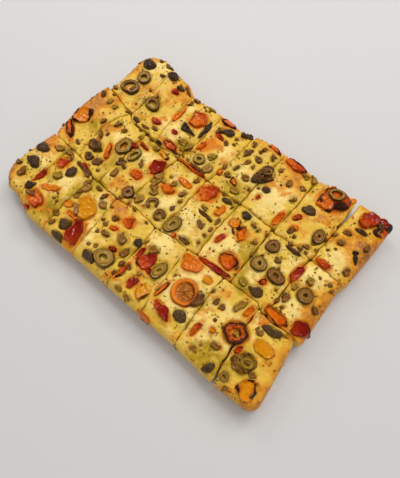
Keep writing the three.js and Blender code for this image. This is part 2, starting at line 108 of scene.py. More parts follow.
# Low waves all over the top: (length along x, length along y, phase, height).
WAVES = [(118, 96, 0.6, 0.8), (-74, 61, 2.1, 0.6), (43, -52, 4.4, 0.4)]

# How the oven and the oil coloured the top: (x, y, radius, strength).
BROWNED = [
    (-163, 30, 16, 0.7), (-152, 20, 15, 0.5), (-140, 30, 12, 0.5), (-118, 12, 9, 0.6),
    (-62, -26, 12, 0.8), (-22, 66, 13, 0.75), (-24, 98, 12, 0.5), (-92, 90, 18, 0.7),
    (-135, 50, 14, 0.4), (64, 88, 18, 0.7), (100, 50, 14, 0.5), (110, 76, 12, 0.35),
    (136, 66, 18, 0.6), (-156, -33, 10, 0.8), (-140, -40, 9, 0.5), (-125, -96, 12, 0.5),
    (-38, -48, 13, 0.7), (85, -46, 8, 0.5), (-160, -90, 12, 0.9), (-162, 108, 13, 1.0),
    (-150, 84, 12, 0.4), (-122, 84, 10, 0.35), (-112, 16, 8, 0.4), (52, -22, 9, 0.3),
    (150, -6, 14, 0.5), (-88, -98, 10, 0.3), (100, -60, 10, 0.3), (140, -100, 14, 0.45),
    (-84, 6, 14, 0.35), (20, 92, 12, 0.3), (156, 62, 16, 0.5), (-66, 104, 8, 0.5),
]
OILED = [
    (-116, 62, 13, 0.7), (-136, 12, 10, 0.9), (-128, 4, 8, 0.5), (-65, 27, 12, 0.7),
    (28, 39, 12, 0.7), (72, 2, 10, 0.9), (85, -8, 10, 1.0), (91, -28, 9, 0.8),
    (-93, -80, 12, 0.8), (-98, -94, 10, 0.9), (-90, -58, 9, 0.9), (108, -95, 12, 0.8),
    (-12, -78, 11, 0.6), (-90, -16, 11, 0.5), (-25, 22, 9, 0.5), (12, 68, 9, 0.6),
    (-40, 46, 12, 0.8), (-98, 40, 10, 0.5), (-30, -14, 10, 0.7), (6, -22, 9, 0.6),
    (40, 30, 8, 0.4), (-132, -30, 9, 0.5), (-80, -45, 9, 0.7), (28, -60, 9, 0.5),
    (128, -88, 9, 0.6), (56, -102, 12, 0.4), (96, 28, 9, 0.4), (-122, -62, 9, 0.5),
    (15, -98, 12, 0.4), (-74, -14, 8, 0.5), (128, 2, 8, 0.6), (70, 60, 9, 0.2), (98, 66, 8, 0.4),
]
CREAM = [
    (-128, 101, 13, 0.4), (-62, 52, 10, 0.9), (61, 56, 16, 0.9), (143, 43, 9, 1.0),
    (-101, 12, 8, 0.6), (-60, 13, 9, 0.7), (-10, -14, 10, 0.7), (16, -14, 13, 0.7),
    (60, -9, 11, 1.0), (50, -22, 9, 0.6), (108, 12, 10, 0.6), (96, -17, 9, 0.7),
    (132, 14, 11, 1.0), (140, -18, 9, 0.8), (-103, -60, 10, 0.7), (-56, -51, 9, 0.7),
    (-45, -84, 8, 0.7), (15, -45, 11, 0.8), (60, -67, 20, 0.9), (90, -78, 10, 0.5),
    (100, -56, 9, 0.5), (126, -42, 7, 1.0), (-6, 66, 8, 0.5), (24, 58, 10, 0.5),
    (-146, -57, 10, 0.4), (-66, 84, 8, 0.5), (-80, 60, 9, 0.4), (118, -78, 6, 0.6),
    (-22, 14, 8, 0.4), (145, 25, 8, 0.7), (66, -38, 12, 0.4),
]


def mix(start, end, share):
    return start + (end - start) * share


def line_y(line, x):
    return np.interp(x, [point[0] for point in line], [point[1] for point in line])


def along_cut(places, v):
    """A value given at a row's upper side, middle and lower side, at a share v from the lower side."""
    upper, middle, lower = places
    bend = 2 * (upper + lower - 2 * middle)
    return lower + (upper - lower - bend) * v + bend * v * v


def round_drop(distance, radius):
    """How far a quarter-round edge has dropped at a distance from it."""
    inside = np.clip(distance, 0, radius)
    return radius - np.sqrt(radius**2 - (radius - inside) ** 2)


def swellings(x, y, spots):
    """The sum of round swellings, each given by its place, radius and height."""
    total = np.zeros_like(x)
    for spot_x, spot_y, radius, height in spots:
        total += height * np.exp(-((x - spot_x) ** 2 + (y - spot_y) ** 2) / radius**2)
    return total


def crumb_level(x, y):
    """Level of the bread's top away from every edge."""
    level = THICKNESS + swellings(x, y, SWELLS)
    for along_x, along_y, phase, height in WAVES:
        level += height * np.sin(2 * np.pi * x / along_x + phase) * np.cos(2 * np.pi * y / along_y)
    return level


def sheet_level(x, y):
    """Level of the whole sheet's top, with its outer edge rounded and its cuts left out."""
    distance = np.minimum(line_y(LONG_LINES[0], x) - y, y - line_y(LONG_LINES[-1], x))
    for number, row in enumerate(ROWS):
        top, bottom = line_y(LONG_LINES[number], x), line_y(LONG_LINES[number + 1], x)
        v = np.clip((y - bottom) / (top - bottom), 0, 1)
        cuts = SHORT_CUTS[row]
        ends = np.minimum(x - along_cut(cuts[0], v), along_cut(cuts[-1], v) - x)
        in_row = (y > bottom) | (number == len(ROWS) - 1)
        if number > 0:
            in_row &= y <= top
        distance = np.where(in_row, np.minimum(distance, ends), distance)
    return crumb_level(x, y) - round_drop(distance, CRUST_ROUND)


def noise_over(x, y, z, size):
    """Smooth noise from -1 to 1 over points in millimetres, with swells about a size across.

    A pattern of the plan alone has one z for all its points, and that z is used for no other.
    """
    points = np.column_stack(np.broadcast_arrays(x, y, z)) / size
    return np.array([noise.noise(Vector(point)) for point in points])


# Small blisters in the crust, and one fine pit for every three: (x, y, radius, rise).
BLISTER_COUNT = 620
BLISTER_RADII = (1.5, 4.5)
BLISTER_RISES = (0.2, 0.75)
BLISTER_REACH = 6  # how far outside a slice a blister still raises it
random.seed(11)
BLISTERS = [
    (random.uniform(-168, 166), random.uniform(-109, 121), random.uniform(*BLISTER_RADII),
     random.choice((1, 1, 1, -1)) * random.uniform(*BLISTER_RISES))
    for _ in range(BLISTER_COUNT)
]


def put_points(mesh, points):
    """Gives a mesh its points, from millimetres of the plan to metres of the frame."""
    placed = (points - (MIDDLE[0], MIDDLE[1], 0)) * MM
    mesh.vertices.foreach_set("co", placed.astype(np.float32).ravel())


def put_mark(mesh, name, values, kind="FLOAT", field="value"):
    """Gives each point of a mesh a value, which a material reads by its name."""
    held = mesh.attributes.get(name) or mesh.attributes.new(name, kind, "POINT")
    held.data.foreach_set(field, values.astype(np.float32).ravel())


def nearer(u, v, sides):
    """What a table of the four sides says of the nearer short side and the nearer long side."""
    return (np.where(u < 0.5, sides["left"], sides["right"]),
            np.where(v < 0.5, sides["lower"], sides["upper"]))


SHOULDER_VARIES = 0.9  # the share by which the rounding along the cuts varies


class Slice:
    """One slice: u runs across it from left to right, v from its lower to its upper side."""

    def __init__(self, row, column):
        self.row, self.column = row, column
        self.name = ROWS[row] + str(column + 1)
        self.outer = {"left": column == 0, "right": column == IN_A_ROW - 1, "upper": row == 0,
                      "lower": row == len(ROWS) - 1}
        self.rounding = {side: CRUST_ROUND if outer else SHOULDER
                         for side, outer in self.outer.items()}

    def cut(self, index, v):
        """x of a short cut, and the half width by which it has opened there."""
        opened = OPENED.get(ROWS[self.row] + str(index), (0, 0, 0))
        half = KNIFE_GAP / 2 + along_cut(opened, v) / 2
        return along_cut(SHORT_CUTS[ROWS[self.row]][index], v), half

    def sides(self, v):
        """x of the slice's two short sides."""
        left, left_half = self.cut(self.column, v)
        right, right_half = self.cut(self.column + 1, v)
        return left + left_half, right - right_half

    def ends(self, x):
        """y of the slice's two long sides."""
        lower = line_y(LONG_LINES[self.row + 1], x) + KNIFE_GAP / 2
        return lower, line_y(LONG_LINES[self.row], x) - KNIFE_GAP / 2

    def plan(self, u, v):
        """x and y of the points at u and v."""
        x = mix(*self.sides(v), u)
        return x, mix(*self.ends(x), v)

    def margins(self, u, v):
        """Distances to the nearer short side and the nearer long side, and the slice's size."""
        left, right = self.sides(v)
        lower, upper = self.ends(mix(left, right, u))
        width, depth = right - left, upper - lower
        return np.minimum(u, 1 - u) * width, np.minimum(v, 1 - v) * depth, width, depth

    def corner(self, u, v):
        """The radius of the nearest corner in the plan."""
        side, end, radius = WIDE_CORNERS.get(self.name, ("", "", CORNER))
        at_side = (u < 0.5) if side == "left" else (u >= 0.5)
        at_end = (v < 0.5) if end == "lower" else (v >= 0.5)
        return np.where(at_side & at_end, radius, CORNER)

    def rounded(self, u, v):
        """u and v after the square at each corner is bent into a quarter of a disc."""
        from_side, from_end, width, depth = self.margins(u, v)
        radius = self.corner(u, v)
        a, b = (np.clip((radius - edge) / radius, 0, 1) for edge in (from_side, from_end))
        in_x = radius * (1 - a * np.sqrt(1 - b * b / 2)) / width
        in_y = radius * (1 - b * np.sqrt(1 - a * a / 2)) / depth
        bent = (a > 0) & (b > 0)
        u = np.where(bent, np.where(u < 0.5, in_x, 1 - in_x), u)
        v = np.where(bent, np.where(v < 0.5, in_y, 1 - in_y), v)
        return u, v

    def drop(self, u, v):
        """Drop of the top towards the edges, softer in some places along the cuts."""
        from_side, from_end, _, _ = self.margins(u, v)
        x, y = self.plan(u, v)
        softer = 1 + SHOULDER_VARIES * noise_over(x, y, 30, 13)
        at_side, at_end = (np.where(rounding == SHOULDER, SHOULDER * softer, rounding)
                           for rounding in nearer(u, v, self.rounding))
        straight = np.maximum(round_drop(from_side, at_side), round_drop(from_end, at_end))
        radius = self.corner(u, v)
        a, b = np.clip(radius - from_side, 0, None), np.clip(radius - from_end, 0, None)
        edge = (a * at_side + b * at_end) / np.maximum(a + b, 1e-6)
        in_corner = round_drop(radius - np.hypot(a, b), np.maximum(edge, 0.1))
        return np.where((a > 0) & (b > 0), np.maximum(straight, in_corner), straight)

    def store(self):
        """Writes the points and the marks of the oven and the oil, with the shade painted along the
        cuts, to the mesh.
        """
        mesh = self.piece.data
        put_points(mesh, self.points)
        for name, values in self.marks.items():
            put_mark(mesh, name, values)
        mesh.update()


# One blank with the slices' common mesh, u, v and height as x, y and z from 0 to 1: a fine grid
# on top, drawn down into sides, and closed by an underside with a narrow rounded rim.
CELLS_ACROSS, CELLS_DEEP, CELLS_DOWN = 62, 104, 18
UNDERSIDE_RIM = (0.94, 0.97, 1)  # the share of a slice's plan inside the rim
bpy.ops.mesh.primitive_grid_add(x_subdivisions=CELLS_ACROSS, y_subdivisions=CELLS_DEEP, size=1)
slice_blank = bpy.context.active_object
slice_blank.name = "slice_blank"
bpy.ops.object.mode_set(mode="EDIT")
bpy.ops.mesh.select_all(action="SELECT")
bpy.ops.transform.translate(value=(0.5, 0.5, 1))
bpy.ops.mesh.region_to_loop()
for _ in range(CELLS_DOWN):
    bpy.ops.mesh.extrude_region_move(TRANSFORM_OT_translate={"value": (0, 0, -1 / CELLS_DOWN)})
bpy.ops.mesh.extrude_region_move()
bpy.ops.transform.resize(value=UNDERSIDE_RIM, center_override=(0.5, 0.5, 0))
bpy.ops.mesh.edge_face_add()
bpy.ops.mesh.select_all(action="SELECT")
bpy.ops.mesh.normals_make_consistent(inside=False)
bpy.ops.object.mode_set(mode="OBJECT")
bpy.ops.object.shade_smooth()


def unit_points(blank):
    """x, y and z of a blank's points."""
    flat = np.empty(len(blank.data.vertices) * 3, np.float32)
    blank.data.vertices.foreach_get("co", flat)
    return flat.reshape(-1, 3).astype(float).T


CROWDING = 0.4  # how much closer the grid's lines lie at a slice's edges
UNDERSIDE_ROUND = 1.6
PORE_SIZE, PORE_DEPTH = 3.2, 1.5
WAVER, WAVER_REACH = 1.3, 5  # how far the knife strayed, and how far from a cut that is felt
MOST_CLOSED = 0.42  # how far a slice's side may close its half of the gap again
FAR = 99  # the distance to a cut on a side that was baked, not cut
SIDE_BROWN = {"left": 0.85, "right": 0.85, "upper": 0.8, "lower": 0.6}
EDGE_BROWN = {"left": 0.5, "right": 0.65, "upper": 0.45, "lower": 0.2}
EDGE_REACH = {"left": 10, "right": 15, "upper": 9, "lower": 7}
UNDERSIDE_BROWN = 0.5


def shape_slice(part):
    """Gives a copy of the blank a slice's form, and marks where it is browned, oiled and cut, and
    where shade is painted along the cuts.
    """
    u, v, height = unit_points(slice_blank)
    on_top = height > 0.999
    u, v = (share - CROWDING * np.sin(2 * np.pi * share) / (2 * np.pi) for share in (u, v))
    spot = part.rounded(u, v)
    x, y = part.plan(*spot)
    drop = part.drop(*spot)
    from_side, from_end, width, depth = part.margins(*spot)

    # the top: blisters and wrinkles, and a finer crust where it browned most
    low_x, high_x = x.min() - BLISTER_REACH, x.max() + BLISTER_REACH
    low_y, high_y = y.min() - BLISTER_REACH, y.max() + BLISTER_REACH
    near = [b for b in BLISTERS if low_x < b[0] < high_x and low_y < b[1] < high_y]
    wrinkle = noise_over(x, y, 3, 8) * 0.9 + noise_over(x, y, 9, 2.8) * 0.3
    crust = np.clip(swellings(x, y, BROWNED) - 0.3, 0, 0.8)
    relief = swellings(x, y, near) + wrinkle + crust * noise_over(x, y, 21, 1.9) * 0.6
    relief *= 1 / (1 + drop * 0.35)
    z = (crumb_level(x, y) - drop + relief) * height
    rise = swellings(x, y, SWELLS) * 0.22 + wrinkle * 0.45

    # the sides: pores in the cut crumb, slow unevenness in the baked crust
    nearest_side = from_side * depth < from_end * width
    side, end = nearer(u, v, part.outer)
    baked = np.where(nearest_side, side, end)
    inner_x, inner_y = part.plan(*(mix(share, 0.5, 0.04) for share in spot))
    toward_x = np.where((from_side < 0.05) | ~nearest_side & (from_side < CORNER), inner_x - x, 0)
    toward_y = np.where((from_end < 0.05) | nearest_side & (from_end < CORNER), inner_y - y, 0)
    length = np.maximum(np.hypot(toward_x, toward_y), 1e-6)
    down = ~on_top & (height > 0.001) & (height < 0.98)
    cells = np.array([
        noise.voronoi(Vector(point))[0][0] if is_down else 1.0
        for point, is_down in zip(np.column_stack([x, y, z]) / PORE_SIZE, down)
    ])
    pores = np.clip((0.42 - cells) / 0.3, 0, 1) * PORE_DEPTH
    waves = 0.5 + 0.5 * noise_over(x, y, z, 5) + 0.8 * np.abs(noise_over(x, y, z + 9, 2.2))
    foot = round_drop(np.maximum(z, 0), UNDERSIDE_ROUND)
    inward = np.where(down, np.where(baked, waves * 0.7, pores + waves * 0.2), 0) + foot
    inward = np.where(on_top, 0, inward)
    x, y = x + toward_x / length * inward, y + toward_y / length * inward
    part.points = np.column_stack([x, y, z])
    part.on_top = on_top

    # the knife's wavering: points near a cut are moved as their neighbours across it are
    to_cut = np.minimum(np.where(side, FAR, from_side), np.where(end, FAR, from_end))
    near_cut = np.exp(-((to_cut / WAVER_REACH) ** 2))
    near_cut *= np.clip(np.where(side, from_side, FAR) / 6, 0, 1)
    near_cut *= np.clip(np.where(end, from_end, FAR) / 6, 0, 1)
    closing = np.clip(0.25 + 0.5 * noise_over(x, y, 60, 9), 0, MOST_CLOSED)
    to_side, to_end = (np.exp(-((edge / 1.5) ** 2)) * closing for edge in (from_side, from_end))
    to_side = np.where(u < 0.5, -to_side, to_side) * ~side
    to_end = np.where(v < 0.5, -to_end, to_end) * ~end
    part.points[:, 0] += noise_over(x, y, 50, 8) * near_cut * WAVER + to_side
    part.points[:, 1] += noise_over(x, y, 70, 8) * near_cut * WAVER + to_end

    # the marks: browned and oiled by listed patches, and browned towards the outer edges
    browned = swellings(x, y, BROWNED)
    for name, distance in (("left", u * width), ("right", (1 - u) * width),
                           ("lower", v * depth), ("upper", (1 - v) * depth)):
        if part.outer[name]:
            browned += EDGE_BROWN[name] * np.exp(-((distance / EDGE_REACH[name]) ** 2))
    side_brown = np.where(nearest_side, *nearer(u, v, SIDE_BROWN))
    underside = np.exp(-((z / 1.8) ** 2)) * UNDERSIDE_BROWN
    patchy = 1 + 0.7 * noise_over(x, y, z + 33, 10)
    on_side = np.where(baked, side_brown * patchy * mix(0.8, 1.15, 1 - height), 0.0) + underside
    top_share = np.clip((height - 0.8) / 0.2, 0, 1)
    # painted shade: a noisy band along each cut, added to the oil mark so that the oil colours darken
    # it
    painted_cut_shade = np.exp(-((to_cut / 3) ** 2)) * (0.1 + 2 * noise_over(x, y, 17, 15))
    part.marks = {
        "browned": np.where(on_top, browned, mix(on_side, browned, top_share**3)),
        "oil_and_cut_shade": np.where(on_top, swellings(x, y, OILED) + np.clip(painted_cut_shade, 0, 1), 0),
        "cream": np.where(on_top, swellings(x, y, CREAM) + swellings(x, y, near) * 0.12, 0),
        "rise": np.where(on_top, rise, 0),
        "stained": np.zeros_like(x),
        "crumb": np.where(~on_top & ~baked & (height > 0.02), 1 - top_share**3, 0),
    }


slices = []
for row in range(len(ROWS)):
    for column in range(IN_A_ROW):
        part = Slice(row, column)
        part.piece = bpy.data.objects.new("bread_" + part.name, slice_blank.data.copy())
        bpy.context.scene.collection.objects.link(part.piece)
        shape_slice(part)
        part.store()
        slices.append(part)


def outside_of(x, y, place):
    """Millimetres by which a point lies outside a topping's outline, less than 0 within it."""
    at_x, at_y, length, width, turn = place[:5]
    angle = math.radians(turn)
    along = (x - at_x) * math.cos(angle) + (y - at_y) * math.sin(angle)
    across = (y - at_y) * math.cos(angle) - (x - at_x) * math.sin(angle)
    share = np.hypot(along / (length / 2), across / (width / 2))
    return (share - 1) * math.sqrt(length * width) / 2


HOLLOW, HOLLOW_EDGE = 0.65, 1.6  # how deep a topping has sunk, and over what width
LIP, LIP_OUT, LIP_WIDTH = 0.4, 2.6, 1.6  # how far the dough rose round it, and where
pressed = []


def press(place, stain="oil_and_cut_shade", strength=0.3, reach=3.0):
    """Presses a topping into the bread, and lets its oil or juice run out round it."""
    pressed.append(place)
    for part in slices:
        x, y, _ = part.points.T
        far = max(place[2], place[3]) / 2 + reach * 2.5
        close = (abs(x - place[0]) < far) & (abs(y - place[1]) < far) & part.on_top
        if not close.any():
            continue
        outside = outside_of(x[close], y[close], place)
        edge = np.clip((1.0 - outside) / HOLLOW_EDGE, 0, 1)
        hollow = HOLLOW * edge * edge * (3 - 2 * edge)
        lip = LIP * np.exp(-(((outside - LIP_OUT) / LIP_WIDTH) ** 2))
        part.points[close, 2] += lip - hollow
        run = np.exp(-((np.clip(outside, 0, None) / reach) ** 2))
        part.marks[stain][close] = np.maximum(part.marks[stain][close], strength * run)
        part.store()


class Wire:
    """A socket of a material's nodes. Sums on it add Math nodes, and node() adds any other."""

    tree = None  # the nodes of the material that is being made
    place = None  # its Object coordinates

    def __init__(self, socket):
        self.socket = socket

    @classmethod
    def node(cls, kind, settings=None, values=None, output=""):
        made = cls.tree.nodes.new("ShaderNode" + kind)
        for name, setting in (settings or {}).items():
            setattr(made, name, setting)
        shown = [s for s in made.inputs if s.enabled]
        for name, value in (values or {}).items():
            socket = shown[name] if isinstance(name, int) else [s for s in shown if s.name == name][0]
            if isinstance(value, Wire):
                cls.tree.links.new(value.socket, socket)
            else:
                socket.default_value = value
        named = [s for s in made.outputs if s.enabled and output in (s.name, "")]
        return cls(named[0])

    def _math(self, operation, a, b):
        made = self.tree.nodes.new("ShaderNodeMath")
        made.operation = operation
        for socket, value in zip(made.inputs, (a, b)):
            if isinstance(value, Wire):
                self.tree.links.new(value.socket, socket)
            else:
                socket.default_value = value
        return Wire(made.outputs[0])

    def __add__(self, other):
        return self._math("ADD", self, other)

    __radd__ = __add__

    def __mul__(self, other):
        return self._math("MULTIPLY", self, other)

    __rmul__ = __mul__

    def __sub__(self, other):
        return self._math("SUBTRACT", self, other)

    def __rsub__(self, other):
        return self._math("SUBTRACT", other, self)

    def between(self, low, high):
        """0 below low and 1 above high, with a soft step between them."""
        return self.node("MapRange", {"interpolation_type": "SMOOTHSTEP"},
                         {"Value": self, "From Min": low, "From Max": high})


def paint(red, green, blue):
    """A colour as it is seen, from 0 to 255, as the light that it stands for."""
    seen = (channel / 255 for channel in (red, green, blue))
    return (*(s / 12.92 if s < 0.04045 else ((s + 0.055) / 1.055) ** 2.4 for s in seen), 1)


def cover(share, under, over):
    """A colour laid over another where share is 1."""
    return Wire.node("Mix", {"data_type": "RGBA"}, {"Factor": share, "A": under, "B": over})


def mark(name):
    """A value of the mesh's points, by its name."""
    return Wire.node("Attribute", {"attribute_name": name}, output="Fac")


def grain(size, detail=3.0, roughness=0.55):
    """Noise with grains about a size in millimetres across."""
    return Wire.node("TexNoise", {}, {"Vector": Wire.place, "Scale": 1 / (size * MM),
                                      "Detail": detail, "Roughness": roughness}, "Fac")


def bump(height, depth):
    """Relief of a depth in millimetres, from a height of 0 to 1."""
    return Wire.node("Bump", {}, {"Height": height, "Strength": 1.0, "Distance": depth * MM})


def new_finish(name, **fixed):
    """A new material, with its shader's fixed values set. Returns it and its shader's node."""
    material = bpy.data.materials.new(name)
    material.use_nodes = True
    Wire.tree = material.node_tree
    Wire.place = Wire.node("TexCoord", output="Object")
    shader = Wire.tree.nodes["Principled BSDF"]
    for socket, value in fixed.items():
        shader.inputs[socket.replace("_", " ")].default_value = value
    return material, shader


def connect(shader, **sockets):
    """Links what changes over a surface to its shader."""
    for name, wire in sockets.items():
        shader.id_data.links.new(wire.socket, shader.inputs[name.replace("_", " ")])


DOUGH = paint(224, 182, 64)
CREAMY = paint(241, 211, 126)
GOLD = paint(218, 140, 18)
TAN = paint(178, 106, 30)
DARK_CRUST = paint(112, 60, 16)
# the two oil colours also paint the shade along the cuts, which the oil mark carries
OIL_AND_CUT_SHADE_TINT = paint(182, 146, 14)
JUICE = paint(218, 122, 8)
CUT_CRUMB = paint(234, 204, 106)
FLOURY = paint(222, 168, 84)
DEEP_OIL_AND_CUT_SHADE = paint(122, 98, 8)

baked_bread, shader = new_finish("baked_bread", Coat_Roughness=0.2, Subsurface_Weight=0.08,
                                 Subsurface_Scale=0.004, Subsurface_Radius=(1.0, 0.6, 0.3),
                                 Specular_IOR_Level=0.3)
mottle, fleck, fine = grain(11), grain(2.6, detail=4), grain(0.8)
uneven = (mottle - 0.5) * 3.0 + (fleck - 0.5) * 1.2
rise = mark("rise")
# the oil mark holds the oil and the painted shade along the cuts
cream, oil_and_cut_shade = mark("cream") + uneven + rise * 0.5, mark("oil_and_cut_shade") + uneven * 0.9 - rise * 0.45
colour = cover(cream.between(-0.1, 0.7), DOUGH, CREAMY)
colour = cover(oil_and_cut_shade.between(0.1, 0.8) * 0.9, colour, OIL_AND_CUT_SHADE_TINT)
colour = cover(oil_and_cut_shade.between(0.8, 1.5) * 0.6, colour, DEEP_OIL_AND_CUT_SHADE)
toasted = grain(16, detail=2).between(0.52, 0.7) * 0.45
baked = mark("browned") + uneven * 0.6 + toasted
colour = cover(baked.between(0.2, 0.75) * 0.9, colour, GOLD)
colour = cover(baked.between(0.62, 1.15) * 0.85, colour, TAN)
streak = grain(4.5, detail=5, roughness=0.7)
colour = cover(streak.between(0.5, 0.62) * baked.between(0.65, 1.1) * 0.55, colour, FLOURY)
colour = cover((baked + (fine - 0.5) * 0.5).between(1.3, 1.8) * 0.7, colour, DARK_CRUST)
dripped = grain(9, detail=2).between(0.6, 0.72) * 0.4
colour = cover((mark("stained") + dripped + uneven * 0.4).between(0.12, 0.95), colour, JUICE)
crumb = mark("crumb")
colour = cover(crumb, colour, cover(fleck.between(0.35, 0.6), DOUGH, CUT_CRUMB))
wet = (oil_and_cut_shade.between(0.1, 0.8) * 0.5 + 0.35) * (1 - crumb)
pitted = Wire.node("TexVoronoi", {"feature": "SMOOTH_F1"},
                   {"Vector": Wire.place, "Scale": 1 / (1.6 * MM), "Smoothness": 0.6}, "Distance")
relief = fleck * 0.6 + fine * 0.25 + pitted * 0.35 + streak * baked.between(0.5, 1.0) * 0.9
connect(shader, Base_Color=colour, Roughness=0.66 - wet * 0.25, Coat_Weight=wet * 0.55,
        Normal=bump(relief, 0.7))


def dress(piece, material, slot, *nodes):
    """Gives a finished piece its material, and its place in the frame."""
    piece.data.name = piece.name
    piece.data.materials.clear()
    piece.data.materials.append(material)
    if nodes:
        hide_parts(*nodes)
    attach(piece, "root")
    return piece


def discard(*blanks):
    """Removes blanks when all that is made from them is finished."""
    for blank in blanks:
        bpy.data.objects.remove(blank)


for part in slices:
    dress(part.piece, baked_bread, "bread", "slice_" + part.name)
discard(slice_blank)

# ---------------------------------------------------------------------------- the olive rings
# Green olives, stoned, sliced across and baked until their cut faces browned: a tough dark skin
# round a paler, faintly ridged ring of flesh. They were laid on the dough and pressed in.

SINK = 1.1  # how deep a topping's foot lies below the bread's level
FOOT = -1  # a blank's height at its foot
ROUGH_GRAINS = ((2.6, 1.0), (1.1, 0.4))  # a rough surface's grains: size, share of the roughness


def turned(name, profile, sides, through=False, levels=1):
    """A blank of unit radius, drawn out from a circle through a profile of (radius, height)."""
    radius, height = profile[0]
    bpy.ops.mesh.primitive_circle_add(vertices=sides, radius=radius,
                                      fill_type="NOTHING" if through else "TRIFAN")
    blank = bpy.context.active_object
    blank.name = name
    bpy.ops.object.mode_set(mode="EDIT")
    bpy.ops.mesh.select_all(action="SELECT")
    bpy.ops.transform.translate(value=(0, 0, height))
    for (radius, height), (wider, higher) in zip(profile, profile[1:]):
        rise = (0, 0, higher - height)
        bpy.ops.mesh.extrude_region_move(TRANSFORM_OT_translate={"value": rise})
        grow = wider / radius
        bpy.ops.transform.resize(value=(grow, grow, 1), center_override=(0, 0, higher))
    bpy.ops.mesh.select_all(action="SELECT")
    bpy.ops.mesh.remove_doubles(threshold=1e-4)
    bpy.ops.mesh.normals_make_consistent(inside=False)
    bpy.ops.object.mode_set(mode="OBJECT")
    if levels:
        smoothing = blank.modifiers.new("smoothing", "SUBSURF")
        smoothing.levels = smoothing.render_levels = levels
        bpy.ops.object.modifier_apply(modifier=smoothing.name)
    bpy.ops.object.shade_smooth()
    blank.select_set(False)
    return blank


def in_plan(place, along, across):
    """x and y of the points at some distances along and across a topping."""
    angle = math.radians(place[4])
    return (place[0] + along * math.cos(angle) - across * math.sin(angle),
            place[1] + along * math.sin(angle) + across * math.cos(angle))


def lay(blank, name, place, rise, wobble, rough=0.3, form=None, lift=0, burnt=0):
    """A copy of a blank, made a topping's size, turned, made uneven and laid on the bread."""
    x, y, length, width, _, tone = place[:6]
    px, py, pz = unit_points(blank)
    own = np.column_stack([px, py, pz])
    if form:
        px, py, pz = form(px, py, pz, place)
    round_it = np.arctan2(py, px)
    uneven = 1 + wobble * (np.sin(2 * round_it + x) * 0.45 + np.sin(3 * round_it + y) * 0.55)
    wx, wy = in_plan(place, px * uneven * length / 2, py * uneven * width / 2)
    size = math.sqrt(length * width)
    wx = wx + noise_over(wx, wy, 160, size * 0.4) * wobble * size
    wy = wy + noise_over(wx, wy, 200, size * 0.4) * wobble * size
    z = sheet_level(wx, wy) + lift + np.where(pz < 0, pz * SINK, pz * rise)
    showing = np.clip(pz + 0.6, 0, 1) * rough
    for usual_grain, share in ROUGH_GRAINS:
        own_grain = usual_grain * min(1, size / 9)
        wx = wx + noise_over(wx, wy, z + 40, own_grain) * showing * share * 0.7
        wy = wy + noise_over(wx, wy, z + 80, own_grain) * showing * share * 0.7
        z = z + noise_over(wx, wy, z + 120, own_grain) * showing * share
    piece = bpy.data.objects.new(name, blank.data.copy())
    bpy.context.scene.collection.objects.link(piece)
    put_points(piece.data, np.column_stack([wx, wy, z]))
    put_mark(piece.data, "own", own, "FLOAT_VECTOR", "vector")
    put_mark(piece.data, "tone", np.full(len(px), tone))
    put_mark(piece.data, "burnt", np.full(len(px), burnt))
    piece.data.update()
    return piece


def joined(name, pieces):
    """Many small pieces of one kind as one piece."""
    bpy.ops.object.select_all(action="DESELECT")
    for piece in pieces:
        piece.select_set(True)
    bpy.context.view_layer.objects.active = pieces[0]
    bpy.ops.object.join()
    pieces[0].name = name
    bpy.ops.object.select_all(action="DESELECT")
    return pieces[0]


RING_RISE, SMALL_RING_RISE, RING_WOBBLE, BLANK_HOLE = 3.7, 3, 0.06, 0.5
# Each as (x, y, length, width, turn, tone from green to brown, hole as a share of the radius).
RINGS = {
    "ring_a1": (-135.5, 84.5, 18, 15, -20, 0.6, 0.38),
    "ring_a1_2": (-138, 65.5, 21, 17, 0, 1.0, 0.6),
    "ring_a2": (-104, 65, 17, 14, -5, 0.8, 0.5),
    "ring_a7": (106.5, 94, 15, 12, 5, 0.5, 0.6),
    "ring_b2": (-88, 6, 20, 15, 75, 0.5, 0.4),
    "ring_b3": (-72, 5, 18, 10, 85, 0.35, 0.5),
    "ring_b7": (92.5, -5, 15, 14, 0, 0.5, 0.2),
    "ring_b7_2": (110.5, -5, 19, 12, -6, 0.95, 0.25),
    "ring_b8": (140, -3, 14, 14, 0, 0.8, 0.2),
    "ring_c4": (-17.5, -90.5, 21, 18, 0, 0.45, 0.34),
}
RING_LIFTS = {"ring_a7": 2.4}  # it lies on a tomato, and isn't pressed into the bread
SMALL_RINGS = [
    (-19.5, 43, 12, 11, 0, 0.2, 0.4), (-47.5, -29, 13, 12, 0, 1.0, 0.25),
    (8, -26, 19, 14, 78, 0.4, 0.25), (29, -67, 19, 11, 82, 0.4, 0.25),
    (129.5, -98, 9, 7, 0, 0.6, 0.4), (92, 16, 13, 12, 20, 1.0, 0.32),
    (118, 50, 16, 11, 93, 0.9, 0.14),
]
OPEN_RINGS = [
    (-21.5, -22, 12, 12, 100, 1.0, 0.5), (-8, -27, 12, 11, 60, 1.0, 0.42),
]
ring_profile = [(0.5, FOOT), (0.98, FOOT), (1.0, -0.2), (1.0, 0.7), (0.98, 0.94), (0.94, 1.0),
                (0.9, 0.93), (0.85, 0.84), (0.76, 0.86), (0.68, 0.9), (0.6, 0.88), (0.53, 0.84),
                (0.5, 0.6), (0.5, FOOT)]
ring_blank = turned("ring_blank", ring_profile, 36, through=True)


def set_hole(px, py, pz, place):
    """Widens or narrows a ring's hole to the place's own."""
    radius = np.hypot(px, py)
    wanted = place[6] + (radius - BLANK_HOLE) * (1 - place[6]) / (1 - BLANK_HOLE)
    return px * wanted / radius, py * wanted / radius, pz


